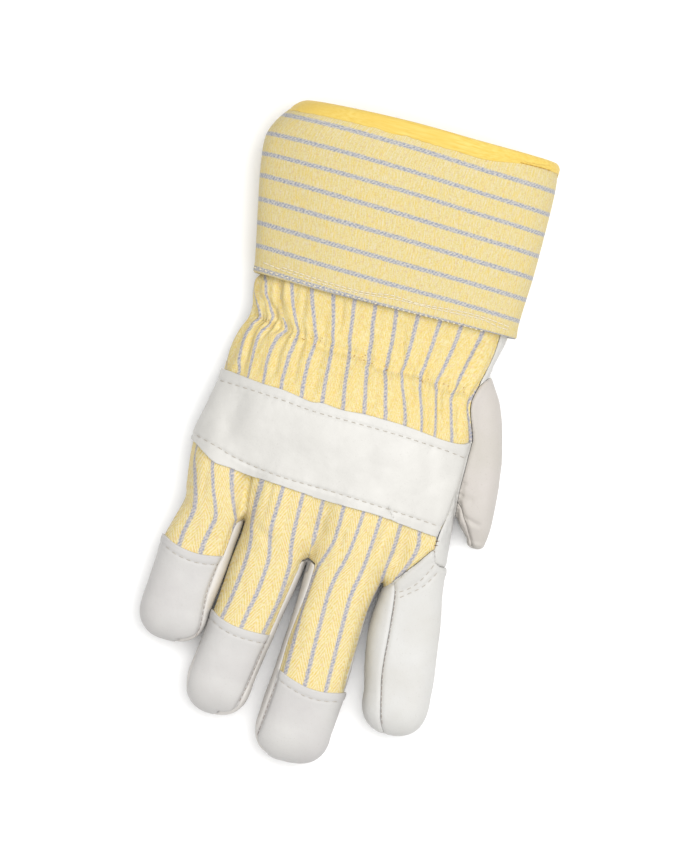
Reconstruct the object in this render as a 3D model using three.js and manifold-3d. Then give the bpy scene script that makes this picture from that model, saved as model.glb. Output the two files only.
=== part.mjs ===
// A right-hand rigger glove lying palm down: striped cotton back and safety cuff, leather palm,
// knuckle strap, fingertips, index finger and thumb. Millimetres, +Z up, +Y towards the cuff,
// +X towards the thumb. Every piece is a real wall, and the glove is hollow from cuff to fingertips.
import * as THREE from "three";
import { mergeVertices } from "three/addons/utils/BufferGeometryUtils.js";
import Module from "manifold-3d";

const wasm = await Module();
wasm.setup();

// Driving dimensions
const wall = 2.0; // cotton with its lining, or leather with its lining
const cuffWall = 2.0; // two layers of stiffened canvas
const strapThickness = 1.6;
const tapeThickness = 0.9; // binding tape over the cuff's rim
const seamGap = 0.3; // between pieces that meet or lie on each other
const seamHeight = 13.5; // of the seam between back and underside, along the glove's sides
const thumbSeamHeight = 11.5;
const floorSag = 1.2; // how far the soft underside would bulge below the face it is pressed to
const handMouth = 61; // the hand's tube ends inside the cuff
const cuffBottom = 54;
const cuffRim = 129.6;
const tapeBottom = 125.3;
const gathers = { pitch: 8.9, depth: 1.5, line: 31, slope: -0.07, spread: 9 }; // wrist elastic
const smallest = 0.1; // detail below this is left out
const far = 90; // beyond the glove's outline on any side
const roof = 90; // higher than any part of the glove
const cellar = -5; // lower than any part of the glove

const colours = { cotton: 0xf3dc86, canvas: 0xeedc96, tape: 0xfbd35c, leather: 0xe6e3dd };

// Section tables. Each row is the outer section at one place along Y: its sides, its lowest and
// highest points, and the height at which it is widest.
const table = (columns, ...rows) =>
  rows.map((row) => Object.fromEntries(columns.map((name, i) => [name, row[i]])));
const sections = ["y", "left", "right", "bottom", "mid", "top"];

const hand = {
  rows: table(sections,
    [64, -51.6, 55.4, 2.8, 19, 37],
    [54, -51.8, 55.2, 2.7, 18.5, 36.6],
    [44, -53.0, 53.2, 2.2, 17.5, 34.2],
    [31, -54.0, 50.6, 2.0, 17.5, 33.5],
    [21, -56.6, 50.2, 1.0, 18.5, 37],
    [8, -57.2, 50.8, 0, 19, 40],
    [-6, -59.8, 50.9, 0, 19, 40.5],
    [-19, -62.5, 50.8, 0, 18, 38.5],
    [-29, -62.5, 51.0, 0, 17.3, 36.4],
    [-42, -60.6, 51.6, 0, 16.5, 31.5],
  ),
  tip: -54, capPower: 2.6, capSteps: 3, stations: 11, arch: 34, belly: 8,
  slant: -0.09, // its finger end runs further down on the index side
};
const digit = { capPower: 2.2, capSteps: 4, stations: 6, arch: 10, belly: 6, slant: 0 };
const little = {
  ...digit,
  tip: -104,
  rows: table(sections,
    [-12, -58.0, -38.0, 3, 17, 33],
    [-28, -61.0, -36.6, 3, 16, 33.5],
    [-43, -60.6, -35.2, 2, 15, 31.5],
    [-60, -65.0, -36.1, 1.2, 14, 27.5],
    [-75, -66.9, -37.6, 0.8, 13.6, 26],
    [-90, -68.2, -39.2, 0, 13.2, 25],
  ),
};
const ring = {
  ...digit,
  tip: -129.8,
  rows: table(sections,
    [-12, -32, -8, 4, 17, 37],
    [-30, -34.4, -5.4, 3, 16.5, 37.2],
    [-46, -34.4, -4.9, 2, 15.5, 34.5],
    [-60, -35.2, -5.1, 1.5, 14.6, 31],
    [-75, -36.5, -7.7, 1, 14, 28.8],
    [-90, -38.4, -10.3, 0.8, 13.8, 27.5],
    [-114, -42.1, -14.4, 0, 13.2, 25.5],
  ),
};
const middle = {
  ...digit,
  tip: -141.8,
  rows: table(sections,
    [-12, -1, 26, 4, 17, 38],
    [-30, -3.8, 29.2, 3, 17, 38],
    [-46, -3.9, 29.6, 2, 16, 35.8],
    [-60, -4.2, 27.9, 1.5, 15.2, 32.8],
    [-75, -4.8, 25.4, 1.2, 14.6, 30.6],
    [-100, -6.8, 24.4, 0.8, 14, 28.6],
    [-127, -9.5, 22.5, 0, 13.4, 26.5],
  ),
};
const index = {
  ...digit,
  tip: -120.8,
  rows: table(sections,
    [-16, 33, 49.8, 4, 16, 32],
    [-32, 30.8, 50.9, 3, 16, 33],
    [-46, 30.2, 52.2, 2, 15, 30.8],
    [-60, 28.8, 54.6, 1.5, 14.4, 28.8],
    [-73, 27.2, 56.9, 1.2, 14, 27.6],
    [-88, 28.2, 58.7, 0.8, 13.7, 27],
    [-105, 31.6, 60.1, 0, 13.3, 26],
  ),
};
const thumb = {
  ...digit,
  stations: 8,
  tip: -35,
  rows: table(sections,
    [40, 33, 49.0, 4, 13, 22],
    [33, 34, 54.0, 3, 13, 23.5],
    [24, 35, 59.4, 2, 13, 24],
    [8, 40, 64.1, 0.8, 12.6, 23.5],
    [-8, 46, 66.4, 0, 12.4, 23],
    [-20, 52.4, 67.3, 0, 12.2, 22],
    [-27, 55.2, 67.5, 0, 12, 21],
  ),
};
const cuff = {
  rows: table(sections,
    [50, -54.2, 58.2, 0, 19, 40.2],
    [64, -56.4, 58.6, 0, 20, 41.5],
    [80, -59.4, 59.6, 0, 21, 43.5],
    [98, -62.6, 60.0, 0, 22, 46],
    [112, -63.6, 60.0, 0.6, 23, 48],
    [120, -60.8, 59.0, 1.2, 23.5, 49],
    [126, -56.0, 57.8, 1.2, 24, 49.5],
    [133, -47.6, 56.0, 1.2, 24.5, 50],
  ),
  arch: 22, belly: 10,
};

// One row at any place along Y, by a smooth curve through the rows of a table.
function rowAt(rows, y) {
  let i = 0;
  while (i < rows.length - 2 && (rows[i + 1].y - y) * (rows[i + 1].y - rows[i].y) < 0) i++;
  const [a, b] = [rows[i], rows[i + 1]];
  const [before, after] = [rows[Math.max(i - 1, 0)], rows[Math.min(i + 2, rows.length - 1)]];
  const t = THREE.MathUtils.clamp((y - a.y) / (b.y - a.y), 0, 1);
  const smooth = (name) => {
    const slopeA = ((b[name] - before[name]) / (b.y - before.y)) * (b.y - a.y);
    const slopeB = ((after[name] - a[name]) / (after.y - a.y)) * (b.y - a.y);
    const rise = b[name] - a[name];
    return (
      a[name] + t * slopeA + t * t * (3 * rise - 2 * slopeA - slopeB) +
      t * t * t * (slopeA + slopeB - 2 * rise)
    );
  };
  const row = Object.fromEntries(sections.map((name) => [name, smooth(name)]));
  return { ...row, y, bottom: Math.max(row.bottom, 0) };
}

// The closed curve of one section: an arch above its widest line and a belly below it, which is
// pressed flat where it would pass the section's lowest point.
function curve(row, grow, { arch, belly }, shrink = 1) {
  const centre = (row.left + row.right) / 2;
  const halfWidth = ((row.right - row.left) / 2 + grow) * shrink;
  const points = [];
  const [archPower, bellyPower] = arch > 16 ? [2.3, 2.8] : [2.2, 2.4];
  for (let k = 0; k < arch + belly; k++) {
    const angle = k < arch ? (k / arch) * Math.PI : (1 + (k - arch) / belly) * Math.PI;
    const [c, s] = [Math.cos(angle), Math.sin(angle)];
    const power = 2 / (k <= arch ? archPower : bellyPower);
    const reach = k <= arch ? row.top - row.mid : row.mid - row.bottom + floorSag;
    const x = centre + halfWidth * Math.sign(c) * Math.abs(c) ** power;
    const z = row.mid + (reach + grow) * shrink * Math.sign(s) * Math.abs(s) ** power;
    points.push(new THREE.Vector3(x, row.y, Math.max(z, row.bottom - grow)));
  }
  return points;
}

// The cotton is drawn into dimples along the wrist elastic.
function gather(point) {
  const along = (point.y - gathers.line - gathers.slope * point.x) / gathers.spread;
  const across = 0.5 - 0.5 * Math.cos((2 * Math.PI * point.x) / gathers.pitch);
  const upper = THREE.MathUtils.smoothstep(point.z, seamHeight + 6, seamHeight + 12);
  point.z -= gathers.depth * across * upper * Math.exp(-along * along);
  return point;
}

// A closed solid through rings of points that all have the same count, its two ends capped.
function loft(rings) {
  const n = rings[0].length;
  const points = rings.flat();
  const faces = [];
  for (let r = 0; r < rings.length - 1; r++)
    for (let k = 0; k < n; k++) {
      const [a, b] = [r * n + k, r * n + ((k + 1) % n)];
      faces.push([a, b, a + n], [b, b + n, a + n]);
    }
  for (const [start, first] of [[0, true], [points.length - n, false]]) {
    const hub = points.length;
    const ring = points.slice(start, start + n);
    points.push(ring.reduce((sum, p) => sum.add(p), new THREE.Vector3()).divideScalar(n));
    for (let k = 0; k < n; k++) {
      const [a, b] = [start + k, start + ((k + 1) % n)];
      faces.push(first ? [a, hub, b] : [a, b, hub]);
    }
  }
  return manifoldOf(points.flatMap((p) => [p.x, p.y, p.z]), faces.flat());
}

function manifoldOf(positions, faces) {
  const made = new wasm.Manifold(
    new wasm.Mesh({
      numProp: 3,
      vertProperties: new Float32Array(positions),
      triVerts: new Uint32Array(faces),
    }),
  );
  if (made.volume() > 0) return made;
  return manifoldOf(positions, [...faces].reverse());
}

// A tube of leather or cloth as a full solid: sections down its table, then a rounded closed end.
function tubeForm(tube, grow, fine = true) {
  const { rows, capPower, capSteps, slant } = tube;
  const count = fine ? tube : { arch: Math.min(tube.arch, 16), belly: tube.belly };
  const [first, last] = [rows[0], rows[rows.length - 1]];
  const lean = (point) => {
    point.y += slant * point.x * THREE.MathUtils.smoothstep(first.y - point.y, 40, first.y - last.y);
    return point;
  };
  const rings = [];
  const stations = fine ? tube.stations : Math.min(tube.stations, 9);
  for (let i = 0; i < stations; i++) {
    const y = THREE.MathUtils.lerp(first.y, last.y, i / stations);
    const ring = curve(rowAt(rows, y), grow, count).map(lean);
    rings.push(fine && tube === hand ? ring.map(gather) : ring);
  }
  const reach = last.y - tube.tip + grow;
  for (let i = 0; i <= capSteps; i++) {
    const t = i < capSteps ? Math.sin((i / capSteps) * (Math.PI / 2)) : 0.995;
    const shrink = (1 - t ** capPower) ** (1 / capPower);
    rings.push(curve({ ...last, y: last.y - reach * t }, grow, count, shrink).map(lean));
  }
  return loft(rings);
}

const digits = { little, ring, middle, index, thumb };
const gloveForm = (grow, fine) =>
  wasm.Manifold.union([hand, ...Object.values(digits)].map((tube) => tubeForm(tube, grow, fine)));

// A length of the cuff as a full solid. Its rim turns in quickly, so sections lie closer there.
const cuffPlaces = [66, 82, 98, 110, 118, 123, 126.5];
function cuffForm(grow, low, high) {
  const places = [low, ...cuffPlaces.filter((y) => y > low + 0.2 && y < high - 0.2), high];
  return loft(places.map((y) => curve(rowAt(cuff.rows, y), grow, cuff)));
}

const without = (solid, cutters) => cutters.reduce((left, cutter) => left.subtract(cutter), solid);

// An upright block over a plan outline whose sides are all moved outwards by grow.
function block(outline, grow, low, high = roof) {
  const corners = outline.map(([x, y]) => new THREE.Vector2(x, y));
  if (THREE.ShapeUtils.isClockWise(corners)) corners.reverse();
  const normal = (a, b) => new THREE.Vector2(b.y - a.y, a.x - b.x).normalize();
  const moved = corners.map((corner, i) => {
    const before = normal(corners.at(i - 1), corner);
    const after = normal(corner, corners[(i + 1) % corners.length]);
    const reach = grow / Math.max(1 + before.dot(after), 0.3);
    return corner.clone().addScaledVector(before.add(after), reach);
  });
  const geometry = new THREE.ExtrudeGeometry(new THREE.Shape(moved), {
    depth: high - low,
    bevelEnabled: false,
  });
  geometry.deleteAttribute("normal");
  geometry.deleteAttribute("uv");
  geometry.translate(0, 0, low);
  const merged = mergeVertices(geometry, 1e-4);
  return manifoldOf(merged.attributes.position.array, merged.index.array);
}

// Plan lines of the seams, each a run of [x, y] places.
const handRight = [[46.2, -40.5], [46.8, -34], [48.4, -20], [50, -8], [49.6, 8], [48, 14],
  [46.5, 22], [47.4, 30], [49.8, 38], [51.4, 46], [52, 70]];
const indexSeam = [[29.2, -60.6], [33, -56.8], [36, -53], [40, -48], [43, -44], [46.2, -40.5]];
const littleRight = [[-44, -106], [-41.4, -96], [-42.3, -82], [-40, -66], [-38.8, -57], [-36.8, -47.5]];
const ringLeft = [[-34.9, -48], [-35.7, -60], [-37, -75], [-38.8, -90], [-40.4, -104], [-47, -108.5]];
const ringRight = [[-22, -135], [-17.4, -120], [-14.6, -105], [-12.2, -90], [-9.6, -75], [-7.2, -62], [-6.4, -57]];
const middleLeft = [[-1.2, -57], [-1.4, -70], [-4.2, -90], [-5.0, -106], [-6.6, -122], [-9, -146]];
const middleRight = [[27.8, -146], [27.8, -106], [26.5, -88], [26.3, -74]];
const indexLeft = [[33.4, -60], [34.9, -66], [36, -80], [37, -95], [39.5, -108], [42, -117], [48, -126]];
const indexTop = [[46.2, -40.5], [47.2, -45.2], [53, -47], [far, -47]];
const thumbTop = [[far, 39.5], [54, 39.5], [49.8, 38]];
const thumbLeft = [[50, -8], [51.4, -20], [51.8, -38], [far, -38]];
const thumbSeam = [[40, 45], [40, -14], [51.5, -18.5], [60, -33], [62, -40], [far, -40], [far, 45]];
const strapTop = [[-far, 13.4], [-57, 11.9], [-40, 10], [-20, 7.9], [20, 7], [38, 5.2], [46, 5.4], [51.2, 7.8]];
const strapRight = [[51.3, 2], [50.4, -8], [48.2, -20]];
const strapBottom = [[46, -35], [20, -31.8], [0, -31.1], [-20, -29.7], [-36, -28.3], [-52.5, -26.2],
  [-58, -22.6], [-64, -19.4], [-far, -18]];

// The line midway between two neighbouring fingers, and each finger's lane from a cross line down.
const edgeOf = ({ rows, tip, capPower }, side, y) => {
  const row = rowAt(rows, y);
  const t = THREE.MathUtils.clamp((rows.at(-1).y - y) / (rows.at(-1).y - tip), 0, 1);
  const centre = (row.left + row.right) / 2;
  return centre + (row[side] - centre) * (1 - t ** capPower) ** (1 / capPower);
};
const between = (a, b, y) => {
  if (y < Math.max(a.tip, b.tip)) return a.tip > b.tip ? -far + 15 : far - 15;
  return (edgeOf(a, "right", y) + edgeOf(b, "left", y)) / 2;
};
const gapPlaces = [-46, -60, -75, -90, -97, -103.9, -107, -120.7, -124, -129.7, -133];
function lane(name, cross) {
  const order = ["little", "ring", "middle", "index"];
  const at = order.indexOf(name);
  const { tip } = digits[name];
  const side = (i) => (y) =>
    i < 0 ? -far : i > 2 ? far : between(digits[order[i]], digits[order[i + 1]], y);
  const line = (edge) => {
    const start = cross(edge(-60));
    const places = gapPlaces.filter((y) => y < start && y > tip);
    return [start, ...places, tip - 3].map((y) => [edge(Math.max(y, tip)), y]);
  };
  return [...line(side(at - 1)), ...line(side(at)).reverse()];
}
const backOutline = [
  [-far, 70], [-far, -106], ...littleRight, ...ringLeft, [-47, -135], ...ringRight, ...middleLeft,
  ...middleRight, ...indexSeam, ...handRight.slice(1),
];
const indexOutline = [...indexSeam, ...indexTop.slice(1), [far, -126], ...[...indexLeft].reverse()];
const thumbOutline = [...thumbTop, ...handRight.slice(3, 8).reverse(), ...thumbLeft.slice(1)];
const strapOutline = [...strapTop, ...strapRight, ...strapBottom];

// Where each finger's leather tip and each finger's front begin: a place along Y at the finger's
// centre line and the cross seam's slope.
const crossSeams = table(["finger", "tip", "slope", "centre", "front"],
  ["little", -64.4, -0.06, -52, -51.4],
  ["ring", -90, -0.13, -25, -54.2],
  ["middle", -107.6, -0.12, 9, -57.4],
  ["index", null, 0, 43, -59.4],
);

// Where leather comes up round a flank to a cotton edge, the seam lies higher.
const flanks = [[handRight, 1, 24], [littleRight, 1, 19], [ringRight, 1, 19], [middleLeft, -1, 19]];

const half = seamGap / 2;
const mouth = block([[-far, handMouth], [-far, 100], [far, 100], [far, handMouth]], 0, cellar);
const shell = gloveForm(0, true).subtract(gloveForm(-wall, false)).subtract(mouth);
const overBack = (grow) =>
  without(
    block(backOutline, grow, seamHeight - grow),
    flanks.map(([edge, inward, height]) =>
      block([...edge.map(([x, y]) => [x - inward * 6, y]),
        ...edge.map(([x, y]) => [x + inward, y]).reverse()], 0, cellar, height - grow)),
  );
const overIndex = (grow) => block(indexOutline, grow, seamHeight - grow);
const overThumb = (grow) => block(thumbOutline, grow, cellar);
const tipOf = ({ finger, tip, slope, centre }, grow) =>
  block(lane(finger, (x) => tip + slope * (THREE.MathUtils.clamp(x, -70, 70) - centre)), grow, cellar);
const frontOf = ({ finger, front }, grow) => block(lane(finger, () => front), grow, cellar);

const handShell = shell.subtract(overThumb(half));
const upper = handShell.intersect(overBack(-half));
const lower = handShell.subtract(overBack(half)).subtract(overIndex(half));
const thumbShell = shell.intersect(overThumb(-half));
const withTips = crossSeams.filter(({ tip }) => tip !== null);

const strapForm = (grow) =>
  wasm.Manifold.union([hand, little, ring, middle, index].map((tube) => tubeForm(tube, grow)));
const tapeFace = seamGap + tapeThickness;
const canvasTube = cuffForm(0, cuffBottom, cuffRim).subtract(
  cuffForm(-cuffWall, cuffBottom - 1, cuffRim + 1),
);
const tapeSlot = cuffForm(seamGap, tapeBottom - 1, cuffRim + seamGap).subtract(
  cuffForm(-cuffWall - seamGap, tapeBottom - 2, cuffRim + 2),
);
const tapeBand = cuffForm(tapeFace, tapeBottom, cuffRim + tapeFace)
  .subtract(cuffForm(-cuffWall - tapeFace, tapeBottom - 1, cuffRim + 3))
  .subtract(tapeSlot);

const pieces = {
  cuff: { solid: canvasTube, colour: colours.canvas, roughness: 0.9 },
  cuff_binding: { solid: tapeBand, colour: colours.tape, roughness: 0.8 },
  back_cloth: {
    solid: without(upper, withTips.map((seam) => tipOf(seam, half))),
    colour: colours.cotton,
    roughness: 0.9,
  },
  knuckle_strap: {
    solid: strapForm(seamGap + strapThickness)
      .subtract(strapForm(seamGap))
      .subtract(tubeForm(thumb, seamGap))
      .intersect(block(strapOutline, 0, seamHeight + half)),
  },
  ...Object.fromEntries(withTips.map((seam) => [
    seam.finger + "_tip", { solid: upper.intersect(tipOf(seam, -half)) },
  ])),
  index_back: { solid: handShell.subtract(overBack(half)).intersect(overIndex(-half)) },
  palm: { solid: without(lower, crossSeams.map((seam) => frontOf(seam, half))) },
  ...Object.fromEntries(crossSeams.map((seam) => [
    seam.finger + "_front", { solid: lower.intersect(frontOf(seam, -half)) },
  ])),
  thumb_outer: { solid: thumbShell.intersect(block(thumbSeam, -half, thumbSeamHeight + half)) },
  thumb_inner: { solid: thumbShell.subtract(block(thumbSeam, half, thumbSeamHeight - half)) },
};

const glove = new THREE.Group();
glove.name = "glove";
for (const [name, { solid, colour = colours.leather, roughness = 0.65 }] of Object.entries(pieces)) {
  const bodies = solid.simplify(smallest).decompose();
  const { vertProperties, triVerts } = bodies
    .reduce((largest, body) => (body.volume() > largest.volume() ? body : largest))
    .getMesh();
  const geometry = new THREE.BufferGeometry()
    .setAttribute("position", new THREE.BufferAttribute(vertProperties, 3))
    .setIndex(new THREE.BufferAttribute(triVerts, 1));
  const material = new THREE.MeshStandardMaterial({ color: colour, roughness, metalness: 0 });
  const mesh = new THREE.Mesh(geometry, material);
  mesh.name = name;
  glove.add(mesh);
}

// The part's origin is the middle of its footprint, on the floor.
const box = new THREE.Box3().setFromObject(glove);
const centre = box.getCenter(new THREE.Vector3());
glove.position.set(-centre.x, -centre.y, -box.min.z);
const part = new THREE.Group();
part.name = "rigger_glove";
part.add(glove);

export default part;
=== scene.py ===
# A right-hand rigger glove lying palm down: striped cotton back, striped canvas cuff with a yellow
# binding, leather palm, knuckle strap, fingertips, index finger and thumb.
import math

import bpy
import numpy as np
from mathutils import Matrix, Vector
from mathutils.bvhtree import BVHTree
from mathutils.noise import noise_vector, seed_set


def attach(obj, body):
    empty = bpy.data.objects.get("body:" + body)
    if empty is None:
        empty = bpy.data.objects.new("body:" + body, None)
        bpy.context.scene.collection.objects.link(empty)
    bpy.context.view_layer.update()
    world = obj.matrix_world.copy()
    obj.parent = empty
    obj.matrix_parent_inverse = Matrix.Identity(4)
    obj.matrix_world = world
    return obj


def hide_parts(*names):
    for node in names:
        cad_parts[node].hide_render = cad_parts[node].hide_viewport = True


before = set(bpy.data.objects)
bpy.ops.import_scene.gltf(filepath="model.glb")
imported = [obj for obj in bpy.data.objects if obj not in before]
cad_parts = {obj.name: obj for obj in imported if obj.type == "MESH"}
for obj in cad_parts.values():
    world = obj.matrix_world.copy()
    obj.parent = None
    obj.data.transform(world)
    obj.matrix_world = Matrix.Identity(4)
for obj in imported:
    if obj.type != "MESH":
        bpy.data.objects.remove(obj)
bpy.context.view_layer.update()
scene = bpy.context.scene
scene.view_settings.view_transform = "Standard"
seed_set(7)  # for noise_vector, which else differs from run to run

# Helpers: sizes below are in millimetres, from the glove's middle, +y to the cuff.

gloveShift = np.array([0.338, 5.463, 0.0])  # puts the sizes below into the frame


def smoothStep(value, low, high):
    t = np.clip((value - low) / (high - low), 0, 1)
    return t * t * (3 - 2 * t)


def bell(distance, width):
    return np.exp(-((distance / width) ** 2))


def smoothTable(rows, count=400):
    # a smooth curve through the rows, by their first column
    table = np.array(sorted(map(tuple, rows)), float)
    at = table[:, 0]
    rise = np.diff(table, axis=0) / np.diff(at)[:, None]
    middle = (table[2:] - table[:-2]) / (at[2:] - at[:-2])[:, None]
    slope = np.vstack([rise[:1], middle, rise[-1:]])
    fine = np.linspace(at[0], at[-1], count)
    i = np.clip(np.searchsorted(at, fine, "right") - 1, 0, len(at) - 2)
    span = (at[i + 1] - at[i])[:, None]
    t = (fine[:, None] - table[i, :1]) / span
    start, end = table[i], table[i + 1]
    curved = (
        start * (2 * t**3 - 3 * t**2 + 1) + slope[i] * span * (t**3 - 2 * t**2 + t)
        + end * (3 * t**2 - 2 * t**3) + slope[i + 1] * span * (t**3 - t**2)
    )
    return fine, curved[:, 1:].T


def lineAlongY(points):
    # a seam given by [x, y] places: its x at any y
    fine, (x,) = smoothTable([(y, x) for x, y in points])
    return lambda y: np.interp(y, fine, x)


def lineAlongX(points):
    fine, (y,) = smoothTable(points)
    return lambda x: np.interp(x, fine, y)


def softMin(a, b, reach):
    h = np.clip(0.5 + 0.5 * (b - a) / reach, 0, 1)
    return b + (a - b) * h - reach * h * (1 - h)


def noise3(points, size, seed=0):
    # smooth random values, about -1 to 1, changing over the given size
    return np.array([noise_vector(p)[0] for p in points / size + seed * 17.3])


# The form of the glove, as a filled-out hand. Each tube of it has rows of
# y, left, right, bottom, height where widest, top.

glove = {
    "hand": {
        "rows": [
            [64, -51.6, 55.4, 2.8, 19, 37], [55.5, -51.8, 55.2, 2.7, 18.5, 36.7],
            [52, -53.6, 55.0, 2.6, 18.3, 36.4], [47, -53.4, 54.0, 2.4, 17.8, 35.2],
            [41, -52.4, 52.4, 2.1, 17.5, 33.9], [36, -52.8, 51.4, 2.0, 17.5, 33.5],
            [31, -54.9, 50.6, 2.0, 17.5, 33.7], [26, -56.3, 50.3, 1.5, 18, 35.2],
            [21, -57.0, 50.2, 1.0, 18.5, 37], [8, -57.6, 50.8, 0, 19, 40],
            [-6, -59.8, 50.9, 0, 19, 40.5], [-19, -62.5, 50.8, 0, 18, 38.5],
            [-29, -62.5, 51.0, 0, 17.3, 36.4], [-42, -60.6, 51.6, 0, 16.5, 31.5],
        ],
        "tip": -54, "capPower": 2.6, "powers": (2.3, 2.8), "slant": -0.09,
        "crotches": [[-34, 3.5], [-4, -2.5], [27.5, -3.5]],  # x, how much further up the hand
        "crotchWidth": 8.0, "slantOver": 40.0,
    },
    "little": {
        "rows": [
            [-12, -58.0, -38.0, 3, 17, 33], [-28, -61.0, -36.6, 3, 16, 33.5],
            [-43, -60.6, -34.4, 2, 15, 31.5], [-52, -62.8, -34.6, 1.6, 14.5, 29.4],
            [-60, -65.0, -35.6, 1.2, 14, 27.5], [-75, -66.9, -37.2, 0.8, 13.6, 26],
            [-90, -68.2, -39.2, 0, 13.2, 25],
        ],
        "tip": -104, "within": (-90, -20, 0),  # x from, x to, y to
    },
    "ring": {
        "rows": [
            [-12, -32, -8, 4, 17, 37], [-30, -34.4, -5.4, 3, 16.5, 37.2],
            [-46, -33.8, -4.9, 2, 15.5, 34.5], [-52, -34.0, -4.9, 1.8, 15.1, 33],
            [-60, -35.0, -4.9, 1.5, 14.6, 31], [-75, -36.5, -7.4, 1, 14, 28.8],
            [-90, -38.4, -10.3, 0.8, 13.8, 27.5], [-114, -42.1, -14.4, 0, 13.2, 25.5],
        ],
        "tip": -129.8, "within": (-60, 10, 0),
    },
    "middle": {
        "rows": [
            [-12, -1, 26, 4, 17, 38], [-30, -3.8, 29.2, 3, 17, 38],
            [-46, -3.9, 29.6, 2, 16, 35.8], [-60, -4.4, 27.9, 1.5, 15.2, 32.8],
            [-75, -4.8, 25.4, 1.2, 14.6, 30.6], [-100, -6.8, 24.4, 0.8, 14, 28.6],
            [-127, -9.5, 22.5, 0, 13.4, 26.5],
        ],
        "tip": -141.8, "within": (-30, 50, 0),
    },
    "index": {
        "rows": [
            [-16, 33, 49.8, 4, 16, 32], [-32, 30.8, 50.9, 3, 16, 33],
            [-46, 30.2, 52.2, 2, 15, 30.8], [-60, 28.8, 54.6, 1.5, 14.4, 28.8],
            [-73, 27.2, 56.9, 1.2, 14, 27.6], [-88, 28.2, 58.7, 0.8, 13.7, 27],
            [-105, 31.6, 60.1, 0, 13.3, 26],
        ],
        "tip": -120.8, "within": (10, 80, 0),
    },
    "thumb": {
        "rows": [
            [40, 33, 49.0, 4, 13, 22], [33, 34, 54.0, 3, 13, 23.5], [24, 35, 59.4, 2, 13, 24],
            [8, 40, 64.1, 0.8, 12.6, 23.5], [-8, 46, 66.4, 0, 12.4, 23],
            [-20, 49.6, 67.2, 0, 12.2, 22], [-26.2, 52.2, 67.5, 0, 12, 20.8],
            [-30.1, 56.2, 67.2, 0.3, 11.6, 18.8], [-33.0, 58.9, 66.6, 0.9, 11.2, 17],
        ],
        "tip": -36.2, "within": (20, 90, 60),
    },
}
fingers = ["little", "ring", "middle", "index"]
join = {  # how the tubes run together, and how the underside is pressed flat
    "floorSag": 1.2,  # how far it would bulge below the face that it lies on
    "floorEase": 2.0, "digitEase": 3.5, "digitFade": (-15, -1), "digitFadeDepth": 8.0,
    "thumbEase": (0.6, 4.0), "thumbEaseOver": (-18, -4), "farAway": 15.0,
}
for tube in glove.values():
    tube["at"], tube["columns"] = smoothTable(tube["rows"])
    tube.setdefault("capPower", 2.4)
    tube.setdefault("powers", (2.9, 2.6))


def section(tube, y):
    # left, right, bottom, height where widest and top of a tube
    left, right, bottom, mid, top = (np.interp(y, tube["at"], c) for c in tube["columns"])
    return left, right, np.maximum(bottom, 0), mid, top


def tubeDistance(tube, points):
    x, y, z = points.T
    last, first = tube["at"][0], tube["at"][-1]
    if "slant" in tube:
        shift = tube["slant"] * x
        for at, up in tube["crotches"]:
            shift = shift + up * bell(x - at, tube["crotchWidth"])
        y = y - shift * smoothStep(first - y, tube["slantOver"], first - last)
    left, right, bottom, mid, top = section(tube, y)
    across, up = x - (left + right) / 2, z - mid
    reach = np.where(up > 0, top - mid, mid - bottom + join["floorSag"])
    power = np.where(up > 0, *tube["powers"])
    g = (np.abs(across * 2 / (right - left)) ** power + np.abs(up / reach) ** power) ** (1 / power)
    past = np.maximum(last - y, 0)
    m = tube["capPower"]
    g = np.maximum((g**m + (past / (last - tube["tip"])) ** m) ** (1 / m), 1e-4)
    away = np.sqrt(across**2 + up**2 + past**2)
    return -softMin(-away * (1 - 1 / g), z - bottom, join["floorEase"])


def gloveDistance(points):
    # below zero inside the glove
    x, y, _ = points.T

    def within(name):
        low, high, front = glove[name]["within"]
        near = (x > low) & (x < high) & (y < front)
        value = np.full(len(points), join["farAway"])
        value[near] = tubeDistance(glove[name], points[near])
        return value

    digits = np.minimum.reduce([within(name) for name in fingers])
    # the fingers fade into the back of the hand
    digits = digits + join["digitFadeDepth"] * smoothStep(y, *join["digitFade"])
    body = softMin(tubeDistance(glove["hand"], points), digits, join["digitEase"])
    least, most = join["thumbEase"]
    ease = least + (most - least) * smoothStep(y, *join["thumbEaseOver"])
    return softMin(body, within("thumb"), ease)


# Neighbouring fingers nearly touch, so the glove is meshed with its fingers spread apart.

spread = {"moves": [-3.0, -1.0, 1.0, 3.0], "from": 40, "to": 60, "cut": 0.45}


def edgeOf(name, side):
    tube = glove[name]
    return lambda y: np.interp(y, tube["at"], tube["columns"][side])


gapLines = [
    lambda y, a=edgeOf(a, 1), b=edgeOf(b, 0): (a(y) + b(y)) / 2
    for a, b in zip(fingers, fingers[1:])
]


def unspread(points):
    x, y, z = points.T
    share = smoothStep(-y, spread["from"], spread["to"])
    moves = spread["moves"]
    moved = x - moves[0] * share
    for line, before, after in zip(gapLines, moves, moves[1:]):
        gap = line(y)
        start = gap - spread["cut"] + before * share
        end = gap + spread["cut"] + after * share
        moved = moved - (after - before) * share * np.clip((x - start) / (end - start), 0, 1)
    return np.column_stack([moved, y, z])


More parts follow.
